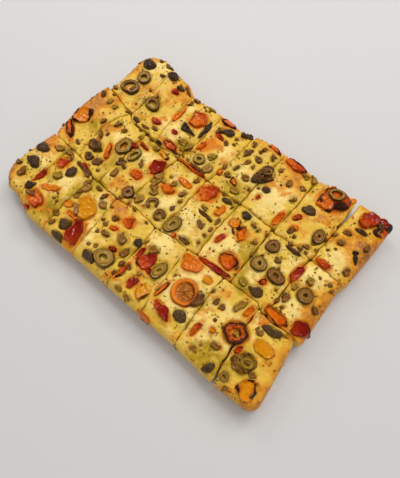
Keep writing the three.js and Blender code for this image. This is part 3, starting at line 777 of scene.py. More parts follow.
def open_ring(px, py, pz, place):
    """A ring with a gap in it, where the knife met the olive's end: the gap lies in the dough."""
    px, py, pz = set_hole(px, py, pz, place)
    from_gap = np.abs((np.arctan2(py, px) - place[0] + np.pi) % (2 * np.pi) - np.pi)
    return px, py, np.where(pz > 0, mix(pz, -1, np.clip((0.75 - from_gap) / 0.25, 0, 1)), pz)


def own_place():
    """A point's place on its own topping, from -1 to 1 along it and across it."""
    return Wire.node("Attribute", {"attribute_name": "own"}, output="Vector")


def own_part(axis):
    """X of that place, which runs along the topping, or Y, which runs across it."""
    return Wire.node("SeparateXYZ", {}, {"Vector": own_place()}, axis)


def share_out():
    """Distance from a topping's middle, 1 at its rim."""
    flat = Wire.node("VectorMath", {"operation": "MULTIPLY"}, {0: own_place(), 1: (1, 1, 0)})
    return Wire.node("VectorMath", {"operation": "LENGTH"}, {0: flat}, "Value")


GREEN_FLESH, BROWN_FLESH = paint(174, 136, 28), paint(126, 74, 18)
PAINTED_GREEN_HIGHLIGHT, PAINTED_BROWN_HIGHLIGHT = paint(194, 162, 62), paint(152, 104, 36)
GREEN_SKIN, BROWN_SKIN = paint(86, 66, 8), paint(50, 28, 6)
PAINTED_GROOVE_SHADE, PAINTED_HOLE_SHADE = paint(96, 64, 12), paint(64, 38, 6)

olive_ring, shader = new_finish("olive_ring", Coat_Weight=0.6, Coat_Roughness=0.15,
                                Specular_IOR_Level=0.3)
speck, fibre = grain(1.8, detail=4), grain(0.6)
out = share_out() + (speck - 0.5) * 0.1
tone = mark("tone")
flesh = cover(tone, GREEN_FLESH, BROWN_FLESH)
# painted highlights: paler specks laid over the flesh by noise, green to brown with the tone
flesh = cover(speck.between(0.45, 0.65) * 0.6, flesh, cover(tone, PAINTED_GREEN_HIGHLIGHT, PAINTED_BROWN_HIGHLIGHT))
# painted shade: the flesh darkened where the ring's top dips into a groove
groove_shade = out.between(0.72, 0.77) * (1 - out.between(0.8, 0.85))
flesh = cover(groove_shade * 0.6, flesh, PAINTED_GROOVE_SHADE)
# painted shade: the wall of the hole darkened
hole_shade = 1 - out.between(0.5, 0.56)
colour = cover(hole_shade * 0.85, flesh, PAINTED_HOLE_SHADE)
skin = out.between(0.88, 0.95)
colour = cover(skin, colour, cover(tone, GREEN_SKIN, BROWN_SKIN))
connect(shader, Base_Color=colour, Roughness=0.55 - skin * 0.15,
        Normal=bump(speck * 0.6 + fibre * 0.4, 0.5))

for name, place in RINGS.items():
    ring = lay(ring_blank, name + "_olive", place, RING_RISE, RING_WOBBLE, rough=0.25,
               form=set_hole, lift=RING_LIFTS.get(name, 0))
    dress(ring, olive_ring, "green_olive", name)
    if name not in RING_LIFTS:
        press(place)
small = [lay(ring_blank, "ring", place, SMALL_RING_RISE, RING_WOBBLE, rough=0.25, form=form)
         for places, form in ((SMALL_RINGS, set_hole), (OPEN_RINGS, open_ring))
         for place in places]
for place in SMALL_RINGS + OPEN_RINGS:
    press(place)
dress(joined("small_olive_rings", small), olive_ring, "green_olive")

# ---------------------------------------------------------------------------- chopped olives
# Green olives chopped small, skin and flesh together, which shrank and browned in the oven. They
# were strewn all over the dough and pressed in: two large pieces, two heaps and many small ones.

OLIVE_RISE, OLIVE_WOBBLE = 4.6, 0.12
CHOPPED_RISE, CHOPPED_WOBBLE, BIT_RISE = 2.4, 0.14, 1.7
# Each as (x, y, length, width, turn, tone from green to brown).
LARGE_OLIVES = {
    "olive_a3": (-54, 63, 20, 9, -12, 1.6),
    "olive_b2": (-112, -12, 17, 14, -10, 1.2),
}
CHOPPED_OLIVES = [
    (-124, 113, 8, 6, 0, 0.9), (-151, 55, 9, 4, -15, 0.5), (-93, 98, 9, 8, 0, 1.5),
    (-70, 98, 8, 6, 0, 0.8), (-50, 100, 9, 4, 5, 0.3), (-46, 49, 10, 7, 30, 0.2),
    (-72, 90, 9, 4, 80, 0.4), (-27, 83, 9, 8, 0, 0.9), (-10.5, 53, 10, 7, 70, 0.1),
    (-6.5, 40, 12, 8, 60, 0.2), (12, 92, 8, 6, -50, 0.9), (12, 79, 10, 8, 70, 0.9),
    (26, 80, 8, 6, -20, 0.95), (29, 56, 8, 6, 20, 0.7), (13, 48, 8, 6, 0, 0.9),
    (36, 91, 9, 6, -60, 0.95), (29, 39, 10, 6, 0, 0.1), (65, 78, 10, 6, -65, 0.8),
    (78, 66, 10, 6, 80, 0.6), (95, 39, 8, 6, 60, 1.0),
    (135, 70, 9, 5, 12, 0.7), (136, 59, 8, 7, 40, 0.8), (157, 68, 10, 4, 85, 0.8),
    (155, 38, 8, 6, 80, 0.8), (-141, 37, 10, 6, 85, 0.2), (-132.5, 36, 8, 6, 25, 0.2),
    (-128, 15, 9, 5, 70, 0.6), (-108.5, -24.5, 11, 8, 0, 1.2), (-97, -24, 10, 9, 80, 1.1),
    (-118, 1.5, 9, 4, -45, 0.8), (-113, 21.5, 10, 7, 60, 0.8), (-75.5, -9, 10, 6, 35, 0.7),
    (-63, 26, 12, 6, 0, 0.2), (-60, 3, 9, 4, -55, 0.6), (-74, -22, 10, 8, 80, 0.6),
    (-35.5, -3, 13, 6, 80, 0.3), (-28.5, -12.5, 10, 7, 50, 0.3), (-5.5, 24, 8, 6, 80, 0.7),
    (-34, -27, 11, 7, 80, 0.2), (20, 5.5, 8, 6, 0, 0.3), (25, 0, 19, 4, 0, 1.2),
    (28, -9.5, 10, 6, -20, 0.9), (27, -31, 15, 7, 0, 1.1), (92, -27, 9, 6, 0, 0.0),
    (129, -2, 10, 6, 85, 0.4), (136.5, 10, 8, 7, 0, 0.2), (128.5, -15, 10, 6, 88, 0.9),
    (-160, -74, 10, 7, 5, 0.9), (-148, -80, 11, 8, 85, 0.8), (-139, -37, 11, 7, 20, 0.3),
    (-116, -60, 12, 8, 20, 0.2), (-97, -39, 15, 6, -15, 1.0), (-83, -51, 13, 7, 85, 0.3),
    (-84, -63, 8, 6, 70, 0.3), (-34, -73, 10, 5, 10, 0.9), (-18, -66, 15, 11, -30, 0.7),
    (-7, -75, 11, 8, 70, 0.7), (12.5, -55.5, 11, 8, 0, 0.3), (24, -103, 9, 4, 0, 0.5),
    (103.5, -45, 16, 7, 80, 0.3), (109, -84, 10, 6, 15, 0.7), (96, -97, 10, 5, 0, 0.6),
    (-120, 98, 7, 4, 20, 0.9), (-80, 43, 8, 4, -8, 0.8), (-11, 75, 7, 5, -35, 0.9),
    (24, 93, 7, 5, 10, 0.9), (19.5, 70, 7, 5, 70, 0.6), (15, 59, 8, 5, 75, 0.8),
    (73.5, 94.5, 7, 6, 60, 0.5), (78, 82, 7, 6, 0, 0.5), (115, 35, 7, 4, 20, 0.8),
    (-130, -20, 7, 4, -30, 0.9), (-102, 20, 7, 5, 50, 0.7), (-6.5, 3.5, 8, 5, 60, 0.7),
    (-3, -14, 8, 5, 80, 1.0), (38, 3, 8, 4, 85, 0.8), (66, 22, 7, 6, 0, 0.7),
    (103, 8.5, 7, 6, 0, 0.8), (154, -8, 7, 6, 0, 0.9), (-73, -44, 8, 4, 0, 0.9),
    (-62, -47, 8, 5, 80, 0.9), (-83, -97, 8, 5, 70, 0.6), (-38, -56, 7, 5, 20, 0.9),
    (6, -82, 7, 6, 0, 0.9), (12.5, -102, 8, 4, 0, 0.4), (86, -55, 8, 5, 88, 0.9),
    (130, -51.5, 7, 5, 40, 0.6), (145.5, -82, 7, 5, 0, 0.8),
    (74, -64, 16, 8, 84, 1.1), (81, 98, 13, 9, -60, 0.15), (-56, -54, 10, 8, 0, 0.5),
    (-38, 5, 11, 8, 60, 0.3), (-33, -8, 10, 8, 30, 0.5), (-20, 6.5, 9, 7, 20, 0.0),
    (-126, -34, 10, 7, 0, 0.5), (-87, -47, 13, 7, 85, 0.5), (-36, -27, 12, 8, 10, 0.4),
    (-78, -7, 11, 7, 20, 1.3), (-38, 48, 10, 6, 60, 0.3), (-12, 53, 9, 6, 10, 0.1),
]
OLIVE_BITS = [
    (-137, 114, 6, 5, 0, 0.9), (-117, 105, 5, 3, 40, 0.9), (-106, 75, 5, 4, 10, 0.8),
    (-88, 37.5, 7, 4, 10, 0.9), (-58, 97, 4, 4, 0, 0.8), (-54, 94, 4, 3, 0, 0.9),
    (-51, 96, 3, 3, 0, 0.8), (-42, 42, 7, 5, 20, 0.3), (-8, 100, 7, 4, 0, 0.9),
    (-4, 79, 5, 4, 0, 0.9), (-6, 86, 4, 4, 0, 0.8), (22, 89, 5, 4, 60, 0.9),
    (25, 101, 5, 4, 0, 0.8), (27, 70, 6, 5, 90, 0.7), (5.5, 53, 6, 4, 90, 0.8),
    (37, 77, 4, 4, 0, 0.9), (39, 49, 5, 4, 0, 0.9), (50, 58, 7, 6, 80, 1.0),
    (45.5, 55, 5, 4, 0, 0.9), (50, 84, 6, 5, 30, 0.9), (70, 96, 6, 5, 0, 0.7),
    (101, 36, 5, 4, 30, 1.0), (118, 41, 4, 3, 0, 0.7), (123, 38, 4, 4, 0, 0.5),
    (129, 62, 6, 3, 80, 0.9), (136, 50, 4, 3, 0, 0.9), (131, 45, 3, 3, 0, 0.9),
    (-156, 43, 7, 5, 20, 0.8), (-161, -14, 6, 5, 0, 0.9), (-90, -30, 5, 4, 0, 0.9),
    (-112, 6, 5, 4, 80, 1.0), (-84, 25, 6, 5, 70, 0.7), (-28, 11, 5, 4, 0, 0.5),
    (-3, -4, 6, 5, 60, 0.8), (39, 23, 6, 4, 80, 0.9), (18, -6, 4, 3, 0, 0.7),
    (38.5, -7, 7, 4, 80, 0.8), (37.5, -15, 5, 4, 0, 0.9), (38, -24, 4, 4, 0, 0.8),
    (72, 20, 4, 3, 80, 0.9), (77, 10, 5, 5, 0, 0.6), (108, 3, 5, 4, 80, 0.9),
    (90, 4, 4, 3, 40, 0.7), (118, -14, 4, 3, 60, 0.8), (141, 18, 4, 4, 0, 0.9),
    (151, 19, 5, 5, 0, 0.9), (155, 16, 5, 4, 50, 0.8), (131, -23, 4, 4, 0, 1.0),
    (-162, -58, 5, 3, 20, 0.9), (-100, -79, 5, 3, 0, 0.9), (-95, -80, 5, 4, 80, 0.9),
    (-84, -89, 7, 5, 20, 0.4), (-49, -50, 4, 3, 0, 0.8), (-41, -66, 6, 5, 0, 0.9),
    (-41, -76, 5, 4, 80, 0.9), (-32, -87, 6, 5, 70, 0.5), (-38, -90, 5, 4, 0, 0.6),
    (1.5, -54, 7, 4, 88, 0.7), (5, -90, 8, 4, 80, 0.6), (17, -80, 6, 5, 0, 0.4),
    (92, -56, 7, 6, 80, 0.9), (95, -68, 4, 4, 0, 1.0), (99, -91, 5, 3, 70, 0.7),
    (136, -104, 6, 3, 0, 0.8), (147, -40, 8, 4, 10, 0.2), (60, 71, 4, 3, 0, 0.8),
    (-150, 108, 5, 4, 0, 0.9), (-30, 60, 4, 3, 0, 0.9), (6, 44, 5, 4, 60, 0.7),
    (104, -69, 4, 3, 0, 0.8), (-118, 76, 4, 3, 0, 0.8), (-145, 47, 4, 3, 0, 0.7),
    (-97, 34, 9, 4, -15, 1.2), (-90, 32, 7, 4, 0, 1.0), (-82, 33, 6, 4, 0, 1.0),
    (-74, 31, 6, 4, 10, 0.9), (-92, 38, 6, 4, 20, 0.9), (-80, -12, 6, 4, 0, 1.4),
    (-71, -11, 5, 4, 40, 1.2), (-30, 3, 7, 6, 0, 0.3), (-40, -3, 7, 5, 70, 0.4),
    (-120, -38, 7, 5, 0, 1.0), (-104, -38, 6, 5, 0, 1.1), (103, 28, 7, 5, 10, 1.0),
    (112, 30, 7, 5, -10, 1.0), (118, 30, 5, 4, 0, 0.9), (126, -13, 8, 5, 80, 1.2),
    (124.5, -21, 7, 4, 80, 1.1), (126, 61, 5, 4, 80, 1.0), (124.5, 52, 5, 3, 80, 1.0),
    (-2, -84, 9, 5, 80, 1.2), (-1, -94, 7, 4, 80, 1.0), (-24, 84, 7, 6, 30, 1.4),
    (20, 73, 5, 5, 0, 0.9), (23, 88, 4, 4, 0, 1.1), (14, 84, 6, 5, 60, 1.1),
    (-38, 36, 6, 4, 30, 0.4), (-28, 36, 6, 4, 0, 0.6), (-8, 33, 6, 4, 0, 0.8),
    (38, 30, 6, 4, 0, 1.0), (24, 29, 5, 4, 0, 0.9), (81, 22, 5, 4, 80, 0.9),
    (82, -2, 6, 4, 80, 0.8), (80, -20, 6, 3, 85, 0.9), (-50, -37, 6, 4, 0, 0.7),
    (-30, -38, 7, 3, 0, 0.9), (-12, -40, 5, 4, 0, 0.9), (-86, -58, 7, 5, 80, 0.9),
    (-88, -88, 7, 5, 20, 0.9), (42, -60, 5, 3, 80, 0.8), (78, -50, 6, 3, 85, 0.9),
    (-46, -64, 5, 4, 80, 1.0), (91, 52, 6, 5, 50, 1.5), (-118, 41, 6, 4, 20, 0.7),
]
# Pieces that lie on a tomato, a pepper or in a ring, each with the height that it lies at.
LIFTED = [
    (-119, -90.5, 11, 8, 10, 0.9, 2.4), (155, 93, 7, 6, 0, 1.3, 1.8),
    (-73, -73, 15, 6, -42, 0.5, 1.2),
    (-134, 66, 8, 6, 80, 0.9, 0.2), (-82, 5, 6, 5, 60, 1.2, 0.2), (12, -57, 11, 7, 5, 0.4, 1.2),
]
olive_profile = [(0.9, FOOT), (1.0, -0.1), (1.0, 0.45), (0.92, 0.85), (0.74, 1.0), (0.5, 0.9),
                 (0.28, 0.66), (0.1, 0.6)]
olive_blank = turned("olive_blank", olive_profile, 14)
fine_olive_blank = turned("fine_olive_blank", olive_profile, 28, levels=2)
bit_blank = turned("bit_blank", [(0.85, FOOT), (1.0, 0.1), (0.85, 0.8), (0.3, 1.0)], 9)


def facets(px, py, place, sharp):
    """How far each point of a round piece is moved to leave the straight sides that a knife cuts."""
    seed = place[0] * 0.7 + place[1] * 0.3
    angle = np.arctan2(py, px) + seed
    angle = angle + 0.35 * np.sin(angle + seed)
    sector = np.pi / (3 + int(abs(place[0] * 7 + place[1] * 3)) % 3)
    facet = np.cos(sector) / np.cos((angle % (2 * sector)) - sector)
    return mix(1.04, facet * 1.12, sharp)


def chop(px, py, pz, place):
    """Cuts a round piece square, differently on each, and bends every third."""
    facet, angle = facets(px, py, place, 0.8), np.arctan2(py, px)
    bend = 0.45 if int(abs(place[0] + place[1])) % 3 == 0 else 0
    px, py = px * facet, py * facet
    return px, py + bend * (px**2 - 0.4), pz * (1 + 0.3 * np.sin(angle + place[1]) * (pz > 0))


GREEN_CUT, YELLOW_CUT = paint(160, 122, 22), paint(150, 92, 22)
BROWN_CUT, BURNT_CUT = paint(108, 60, 18), paint(54, 42, 28)
PAINTED_OLIVE_HIGHLIGHT, CHOPPED_SKIN, DARK_THREAD = paint(176, 136, 50), paint(88, 66, 8), paint(36, 20, 6)

chopped_olive, shader = new_finish("chopped_olive", Coat_Weight=0.6, Coat_Roughness=0.15,
                                   Specular_IOR_Level=0.3)
from_middle = share_out()
patch, speck, fibre = grain(4), grain(1.4, detail=4), grain(0.45)
tone = mark("tone") + (patch - 0.5) * 0.8
flesh = cover(tone.between(0.0, 0.6), GREEN_CUT, YELLOW_CUT)
flesh = cover(tone.between(0.5, 1.1), flesh, BROWN_CUT)
flesh = cover(tone.between(1.1, 1.5), flesh, BURNT_CUT)
# painted highlights: pale specks, fewer on the browner pieces
highlight_share = speck.between(0.45, 0.65) * (0.6 - tone.between(0.4, 1.2) * 0.4)
colour = cover(highlight_share, flesh, PAINTED_OLIVE_HIGHLIGHT)
rim = from_middle + (speck - 0.5) * 0.4 + (patch - 0.5) * 0.3
colour = cover(rim.between(0.6, 1.0) * 0.75, colour,
               cover(tone.between(0.2, 0.9), CHOPPED_SKIN, BROWN_SKIN))
colour = cover(fibre.between(0.55, 0.75) * 0.4, colour, DARK_THREAD)
connect(shader, Base_Color=colour, Roughness=0.42 + speck * 0.2,
        Normal=bump(speck * 0.6 + fibre * 0.4, 0.4))

for name, place in LARGE_OLIVES.items():
    olive = lay(fine_olive_blank, name + "_piece", place, OLIVE_RISE, OLIVE_WOBBLE, rough=0.7,
                form=chop)
    dress(olive, chopped_olive, "green_olive", name)
    press(place)
small = [lay(olive_blank, "olive", place, CHOPPED_RISE, CHOPPED_WOBBLE, rough=0.55, form=chop)
         for place in CHOPPED_OLIVES]
small += [lay(bit_blank, "olive", place, BIT_RISE, CHOPPED_WOBBLE, rough=0.35, form=chop)
          for place in OLIVE_BITS]
small += [lay(olive_blank, "olive", place, CHOPPED_RISE, CHOPPED_WOBBLE, rough=0.55, form=chop,
              lift=place[6]) for place in LIFTED]
for place in CHOPPED_OLIVES + OLIVE_BITS:
    press(place, reach=2)
dress(joined("chopped_olives", small), chopped_olive, "green_olive")

# A heap is a core of chopped olive with pieces and rings lying on it in a spiral, highest in the
# middle, and one larger ring on top.
HEAP_RISE, HEAP_WOBBLE, HEAP_PIECES = 5.2, 0.2, 17
HEAP_SIZES = (5, 8)
SPIRAL_TURN = 2.4  # radians from each piece to the next
HEAPS = {
    "heap_a5": (41, 69, 24, 15, 80, 1.25),
    "heap_c8": (134, -80, 20, 15, 35, 0.5),
}
TOP_RINGS = {"heap_a5": (43, 73, 9), "heap_c8": (137, -78, 12)}  # (x, y, size)
for name, place in HEAPS.items():
    core = lay(fine_olive_blank, name + "_core", place, HEAP_RISE * 0.62, HEAP_WOBBLE, rough=0.9)
    random.seed(name)
    pieces = [core]
    for number in range(HEAP_PIECES):
        angle, out = SPIRAL_TURN * number, 0.82 * math.sqrt((number + 0.5) / HEAP_PIECES)
        x, y = in_plan(place, out * math.cos(angle) * place[2] / 2,
                       out * math.sin(angle) * place[3] / 2)
        size = random.uniform(*HEAP_SIZES)
        spot = (x, y, size, size * random.uniform(0.55, 0.9), random.uniform(0, 180),
                place[5] + random.uniform(-0.6, 0.4), 0.45)
        lift = HEAP_RISE * 0.5 * (1 - out**2)
        if number % 4 == 1:
            pieces.append(lay(ring_blank, "olive", spot, rise=2.4, wobble=0.1, rough=0.3,
                              form=set_hole, lift=lift))
        else:
            pieces.append(lay(olive_blank, "olive", spot, rise=2.6, wobble=CHOPPED_WOBBLE,
                              rough=0.5, form=chop, lift=lift))
    x, y, size = TOP_RINGS[name]
    spot = (x, y, size, size * 0.85, 30, place[5] - 0.5, 0.45)
    pieces.append(lay(ring_blank, "olive", spot, rise=2.6, wobble=0.08, rough=0.4, form=set_hole,
                      lift=HEAP_RISE * 0.5))
    dress(joined(name + "_olives", pieces), chopped_olive, "green_olive", name)
    press(place, strength=0.6)
discard(ring_blank, olive_blank, bit_blank)

# ------------------------------------------------------------------------------ black olives
# Whole and halved black olives, shrunk by the oven until their dark skin wrinkled. They were
# pressed in with the rest, and take a dull shine from the oil.

BLACK_RISE, BLACK_WOBBLE, SMALL_BLACK_RISE = 4.9, 0.1, 3.2
LARGE_BLACK_OLIVES = {
    "black_olive_a1": (-144, 102, 14, 12, 0, 0.8),
    "black_olive_a2": (-110, 105, 12, 11, 0, 0.9),
}
SMALL_BLACK_OLIVES = [
    (-17, 87, 10, 9, 20, 0.9), (96, 66, 12, 10, 10, 0.3), (144.5, 78.5, 11, 4, 6, 0.5),
    (31, 25.5, 11, 5.5, 0, 0.2), (55, 25, 9, 8, 0, 0.9), (106, -26.5, 13, 9, 5, 0.2),
    (-152, -48, 14, 11, 10, 0.6), (-147, -65, 16, 11, 0, 0.7), (-108, -49, 12, 10, 80, 0.7),
    (-129, -85, 10, 8, 60, 0.9), (-70.5, -91, 12, 10, 70, 0.1), (-67.5, -103.5, 12, 8, -5, 0.2),
    (-30, -98.5, 13, 9, -10, 0.6), (-4, -59.5, 8, 8, 0, 1.0), (70, -85, 11, 10, 0, 0.2),
    (115.5, -101, 10, 8, 70, 0.6), (137, -44.5, 17, 7, 10, 0.1), (53, 57, 7, 6, 20, 0.8),
]
black_profile = [(0.85, FOOT), (0.97, -0.4), (1.0, 0.2), (0.95, 0.55), (0.82, 0.82),
                 (0.6, 0.96), (0.35, 1.0), (0.12, 1.0)]
black_blank = turned("black_blank", black_profile, 26)
fine_black_blank = turned("fine_black_blank", black_profile, 32, levels=2)


def wrinkle_skin(px, py, pz, place):
    """Draws the ends out a little, and folds the skin along the olive."""
    seed = place[0]
    folds = np.sin(py * 13 + 2.2 * np.sin(px * 3 + seed) + seed)
    folds += 0.6 * np.sin(py * 23 + 3 * np.sin(px * 4 - seed))
    pull = 1 + 0.2 * np.abs(px) ** 3
    above = np.clip(pz + 0.3, 0, 1)
    return px * pull, py * (1 + 0.02 * folds * above), pz + 0.075 * folds * above


BROWN_BLACK, DEEP_BLACK = paint(80, 56, 22), paint(62, 42, 30)
DRY_SPECK, FOLD = paint(118, 84, 50), paint(32, 21, 15)

black_skin, shader = new_finish("black_skin", Coat_Weight=0.5, Coat_Roughness=0.18,
                                Specular_IOR_Level=0.25)
patch, speck, fibre = grain(3.5), grain(1.0, detail=4), grain(0.4)
tone = (mark("tone") + (patch - 0.5) * 0.5).between(0.2, 0.9)
colour = cover(tone, BROWN_BLACK, DEEP_BLACK)
colour = cover(speck.between(0.48, 0.66) * 0.5, colour, DRY_SPECK)
colour = cover(fibre.between(0.55, 0.75) * 0.5, colour, FOLD)
connect(shader, Base_Color=colour, Roughness=0.36 + speck * 0.2,
        Normal=bump(speck * 0.7 + fibre * 0.3, 0.35))

for name, place in LARGE_BLACK_OLIVES.items():
    olive = lay(fine_black_blank, name + "_whole", place, BLACK_RISE, BLACK_WOBBLE, rough=0.3,
                form=wrinkle_skin)
    dress(olive, black_skin, "black_olive", name)
    press(place)
small = [lay(black_blank, "black_olive", place, SMALL_BLACK_RISE, CHOPPED_WOBBLE, rough=0.25,
             form=wrinkle_skin) for place in SMALL_BLACK_OLIVES]
for place in SMALL_BLACK_OLIVES:
    press(place)
dress(joined("small_black_olives", small), black_skin, "black_olive")
discard(black_blank, fine_black_blank)

# ---------------------------------------------------------------------------------- tomatoes
# Cherry tomatoes, halved and torn, roasted on the dough: cups of wrinkled skin round soft flesh,
# orange to deep red, their rims scorched, with their juice run into the crumb round them.

TOMATO_RISE, TOMATO_WOBBLE, SMALL_TOMATO_RISE = 3.4, 0.14, 2.4
BURNT_SHARES = (0.1, 0.3, 0.7)  # how burnt small pieces are, by turns
TOMATOES = {  # the last two values are the tone, from orange to deep red, and how burnt it is
    "tomato_a3": (-52, 79, 20, 18, 60, 0.2, 0.35),
    "tomato_a3_2": (-54, 37, 20, 8, -4, 0.3, 0.9),
    "tomato_a6": (58, 99, 21, 11, -3, 0.45, 1),
    "tomato_a7": (107, 89, 28, 25, 10, 0.25, 1),
    "tomato_a8": (143, 93, 20, 13, 80, 0.75, 0.35),
    "tomato_b1": (-150, -13.5, 22, 9, -42, 0.3, 1),
    "tomato_b3": (-46, 10, 17, 13, 80, 0.95, 0.1),
    "tomato_b4": (-21, -1, 16, 9, 10, 0.05, 0.1),
    "tomato_b5": (12, 20, 21, 17, 40, 0.45, 0.15),
    "tomato_b6": (70.5, -20, 18, 15, -10, 0.25, 0.45),
    "tomato_b8": (154.5, -28, 16, 13, 35, 0.98, 0.6),
    "tomato_c2": (-113, -91, 22, 13, -20, 0.25, 0.3),
    "tomato_c3": (-57, -91, 27, 19, 108, 0.95, 0),
}
SMALL_TOMATOES = [
    (-94, 90.5, 8, 6, 0, 0.9), (-86, 51, 12, 6, -5, 0.7), (-25, 97, 18, 9, -4, 0.1),
    (-21, 77, 12, 4, -10, 0.8), (-28, 57, 13, 5, 80, 0.2), (31, 101, 17, 5, -22, 0.3),
    (79, 41, 16, 5.5, 86, 0.2), (92, 54, 9, 5, 55, 0.6), (155, 98, 14, 10, 20, 1.1),
    (135, 31, 16, 7, 0, 0.6), (-98, -8, 17, 5, -62, 0.1), (-73, 20, 11, 4, -8, 0.9),
    (-56, -9, 12, 9, 0, 0.35), (63, 7, 13, 11, 80, 0.05), (50.5, -8, 11, 5, 72, 0.7),
    (65, -33.2, 30, 5.5, 5, 0.93), (123, 9, 20, 8, 88, 0.85), (132, -32.5, 25, 10, -6, 0.15),
    (-123.5, -47, 15, 11, 60, 0.55), (-129.5, -70, 17, 6, 85, 0.9), (-114, -102.5, 9, 4, 10, 0.7),
    (-24, -51, 12, 10, 30, 0.45), (5, -66, 14, 4.5, 88, 0.8), (14.5, -67.5, 18, 14, 80, 0.75),
    (18, -90, 13, 9, 80, 1.0), (55, -91, 21, 8, -14, 0.9), (42.3, -77, 18, 4, 84, 0.1),
    (112.5, -43.5, 12, 5, 80, 0.1), (87.5, -83, 15, 5, 85, 0.5), (105, -16, 8, 5, 80, 0.5),
    (-32, -64, 8, 4, 20, 0.3), (-59, 51, 6, 4, 20, 0.9), (-18, -79, 8, 5, 10, 0.8),
    (51, 47, 5, 4, 80, 0.8), (125, -74, 8, 4, 70, 0.7), (16, -33, 5, 4, 0, 0.3),
    (23, -73, 8, 6, 0, 1.0), (-80, 14, 7, 5, 0, 0.9), (99, 103, 6, 4, 0, 0.2),
    (160, 90, 11, 7, 60, 0.3), (-103, -35, 7, 4, 0, 0.8), (3.5, -89, 14, 4, 88, 0.4),
    (-17, 30.5, 30, 3.4, -1, 0.4),
]
# Juice that has run further than a piece's own rim: (x, y, radius, strength).
JUICE_RUNS = [
    (47, -43, 11, 0.9), (40, -80, 6, 0.6), (115, -47, 6, 0.8), (126, -42, 6, 0.5),
    (131, -33, 9, 0.7), (80, 40, 6, 0.5), (-72, 71, 5, 0.6), (-28, 56, 6, 0.7),
    (-22, 66, 9, 0.8), (60, -32, 8, 0.5), (120, 8, 5, 0.4), (3, -66, 5, 0.5),
    (-113, -88, 10, 0.4), (-25, -53, 9, 0.45), (158, -20, 6, 0.7), (134, 32, 6, 0.5),
    (94, 46, 8, 0.4), (-60, -25, 8, 0.3), (-53, 74, 9, 0.5), (12, 20, 8, 0.3),
    (-84, -75, 6, 0.4), (33, 12, 6, 0.35), (52, 12, 7, 0.3), (163, 90, 7, 0.8),
    (-97, -6, 7, 0.5), (44, -107, 7, 0.5), (-24, 100, 8, 0.5), (112, -82, 5, 0.2),
    (-155, -33, 9, 0.6), (-25, 59, 8, 0.6), (54, -104, 8, 0.5), (-77, 66, 5, 0.6),
    (30, -90, 9, 0.5),
]
tomato_profile = [(0.93, FOOT), (1.0, -0.2), (1.02, 0.4), (0.99, 0.82), (0.92, 1.0),
                  (0.82, 0.92), (0.64, 0.72), (0.42, 0.66), (0.2, 0.72), (0.07, 0.75)]
tomato_blank = turned("tomato_blank", tomato_profile, 22)
fine_tomato_blank = turned("fine_tomato_blank", tomato_profile, 30, levels=2)


def curl(px, py, pz, place):
    """Folds the flesh along the piece, and lets the rim stand up on one side."""
    seed = place[0] + place[1]
    angle, out = np.arctan2(py, px), np.hypot(px, py)
    if place[5] > 0.9:  # the reddest are strips of skin, drawn out to a point at both ends
        px, py = px * (1 + 0.16 * out**2 * np.cos(angle) ** 4), py * (1 - 0.2 * np.cos(angle) ** 2)
    folds = np.sin(px * 7 + 1.5 * np.sin(py * 3 + seed) + seed) * (1 - out * 0.4)
    folds += 0.6 * np.sin(py * 9 + 2 * np.sin(px * 5 - seed))
    stand = 1 + 0.35 * np.sin(angle + seed) * out
    bent = facets(px, py, place, 0.6) + 0.025 * np.sin(7 * angle - seed)
    above = np.clip(pz, 0, 1)
    return px * bent, py * bent, np.where(pz > 0, pz * stand + 0.12 * folds * above, pz)


ORANGE_FLESH, RED_ORANGE = paint(216, 102, 0), paint(182, 56, 0)
DEEP_RED, DRIED_RED = paint(132, 18, 6), paint(84, 22, 12)
ORANGE_HIGHLIGHT, RED_HIGHLIGHT = paint(230, 142, 8), paint(168, 44, 8)
BROWN_RIM, CHARRED_RIM = paint(120, 34, 2), paint(50, 20, 6)

roast_tomato, shader = new_finish("roast_tomato", Coat_Roughness=0.1, Specular_IOR_Level=0.1)
from_middle = share_out()
patch, speck, fibre = grain(6), grain(1.8, detail=4), grain(0.6)
tone = mark("tone") + (patch - 0.5) * 0.5 + own_part("X") * 0.3 - 0.06
flesh = cover(tone.between(-0.1, 0.5), ORANGE_FLESH, RED_ORANGE)
flesh = cover(tone.between(0.45, 0.95), flesh, DEEP_RED)
flesh = cover(tone.between(1.0, 1.4), flesh, DRIED_RED)
# painted highlights: paler specks over the flesh, orange to red with the tone
light = cover(tone.between(0.2, 0.8), ORANGE_HIGHLIGHT, RED_HIGHLIGHT)
colour = cover(speck.between(0.48, 0.7) * 0.5, flesh, light)
burnt = mark("burnt")
scorched = (grain(17, detail=1).between(0.42, 0.62) * 0.55 + own_part("Y") * 0.25) * burnt
rim = from_middle + (speck - 0.5) * 0.35 + scorched + burnt * 0.2 - 0.2
colour = cover(rim.between(0.76, 1.0) * 0.75, colour, BROWN_RIM)
colour = cover((rim + (patch - 0.5) * 0.5).between(0.96, 1.08), colour, CHARRED_RIM)
connect(shader, Base_Color=colour, Roughness=0.42 + fibre * 0.2,
        Coat_Weight=0.8 - rim.between(0.8, 1.1) * 0.5,
        Normal=bump(speck * 0.7 + fibre * 0.3, 0.5))

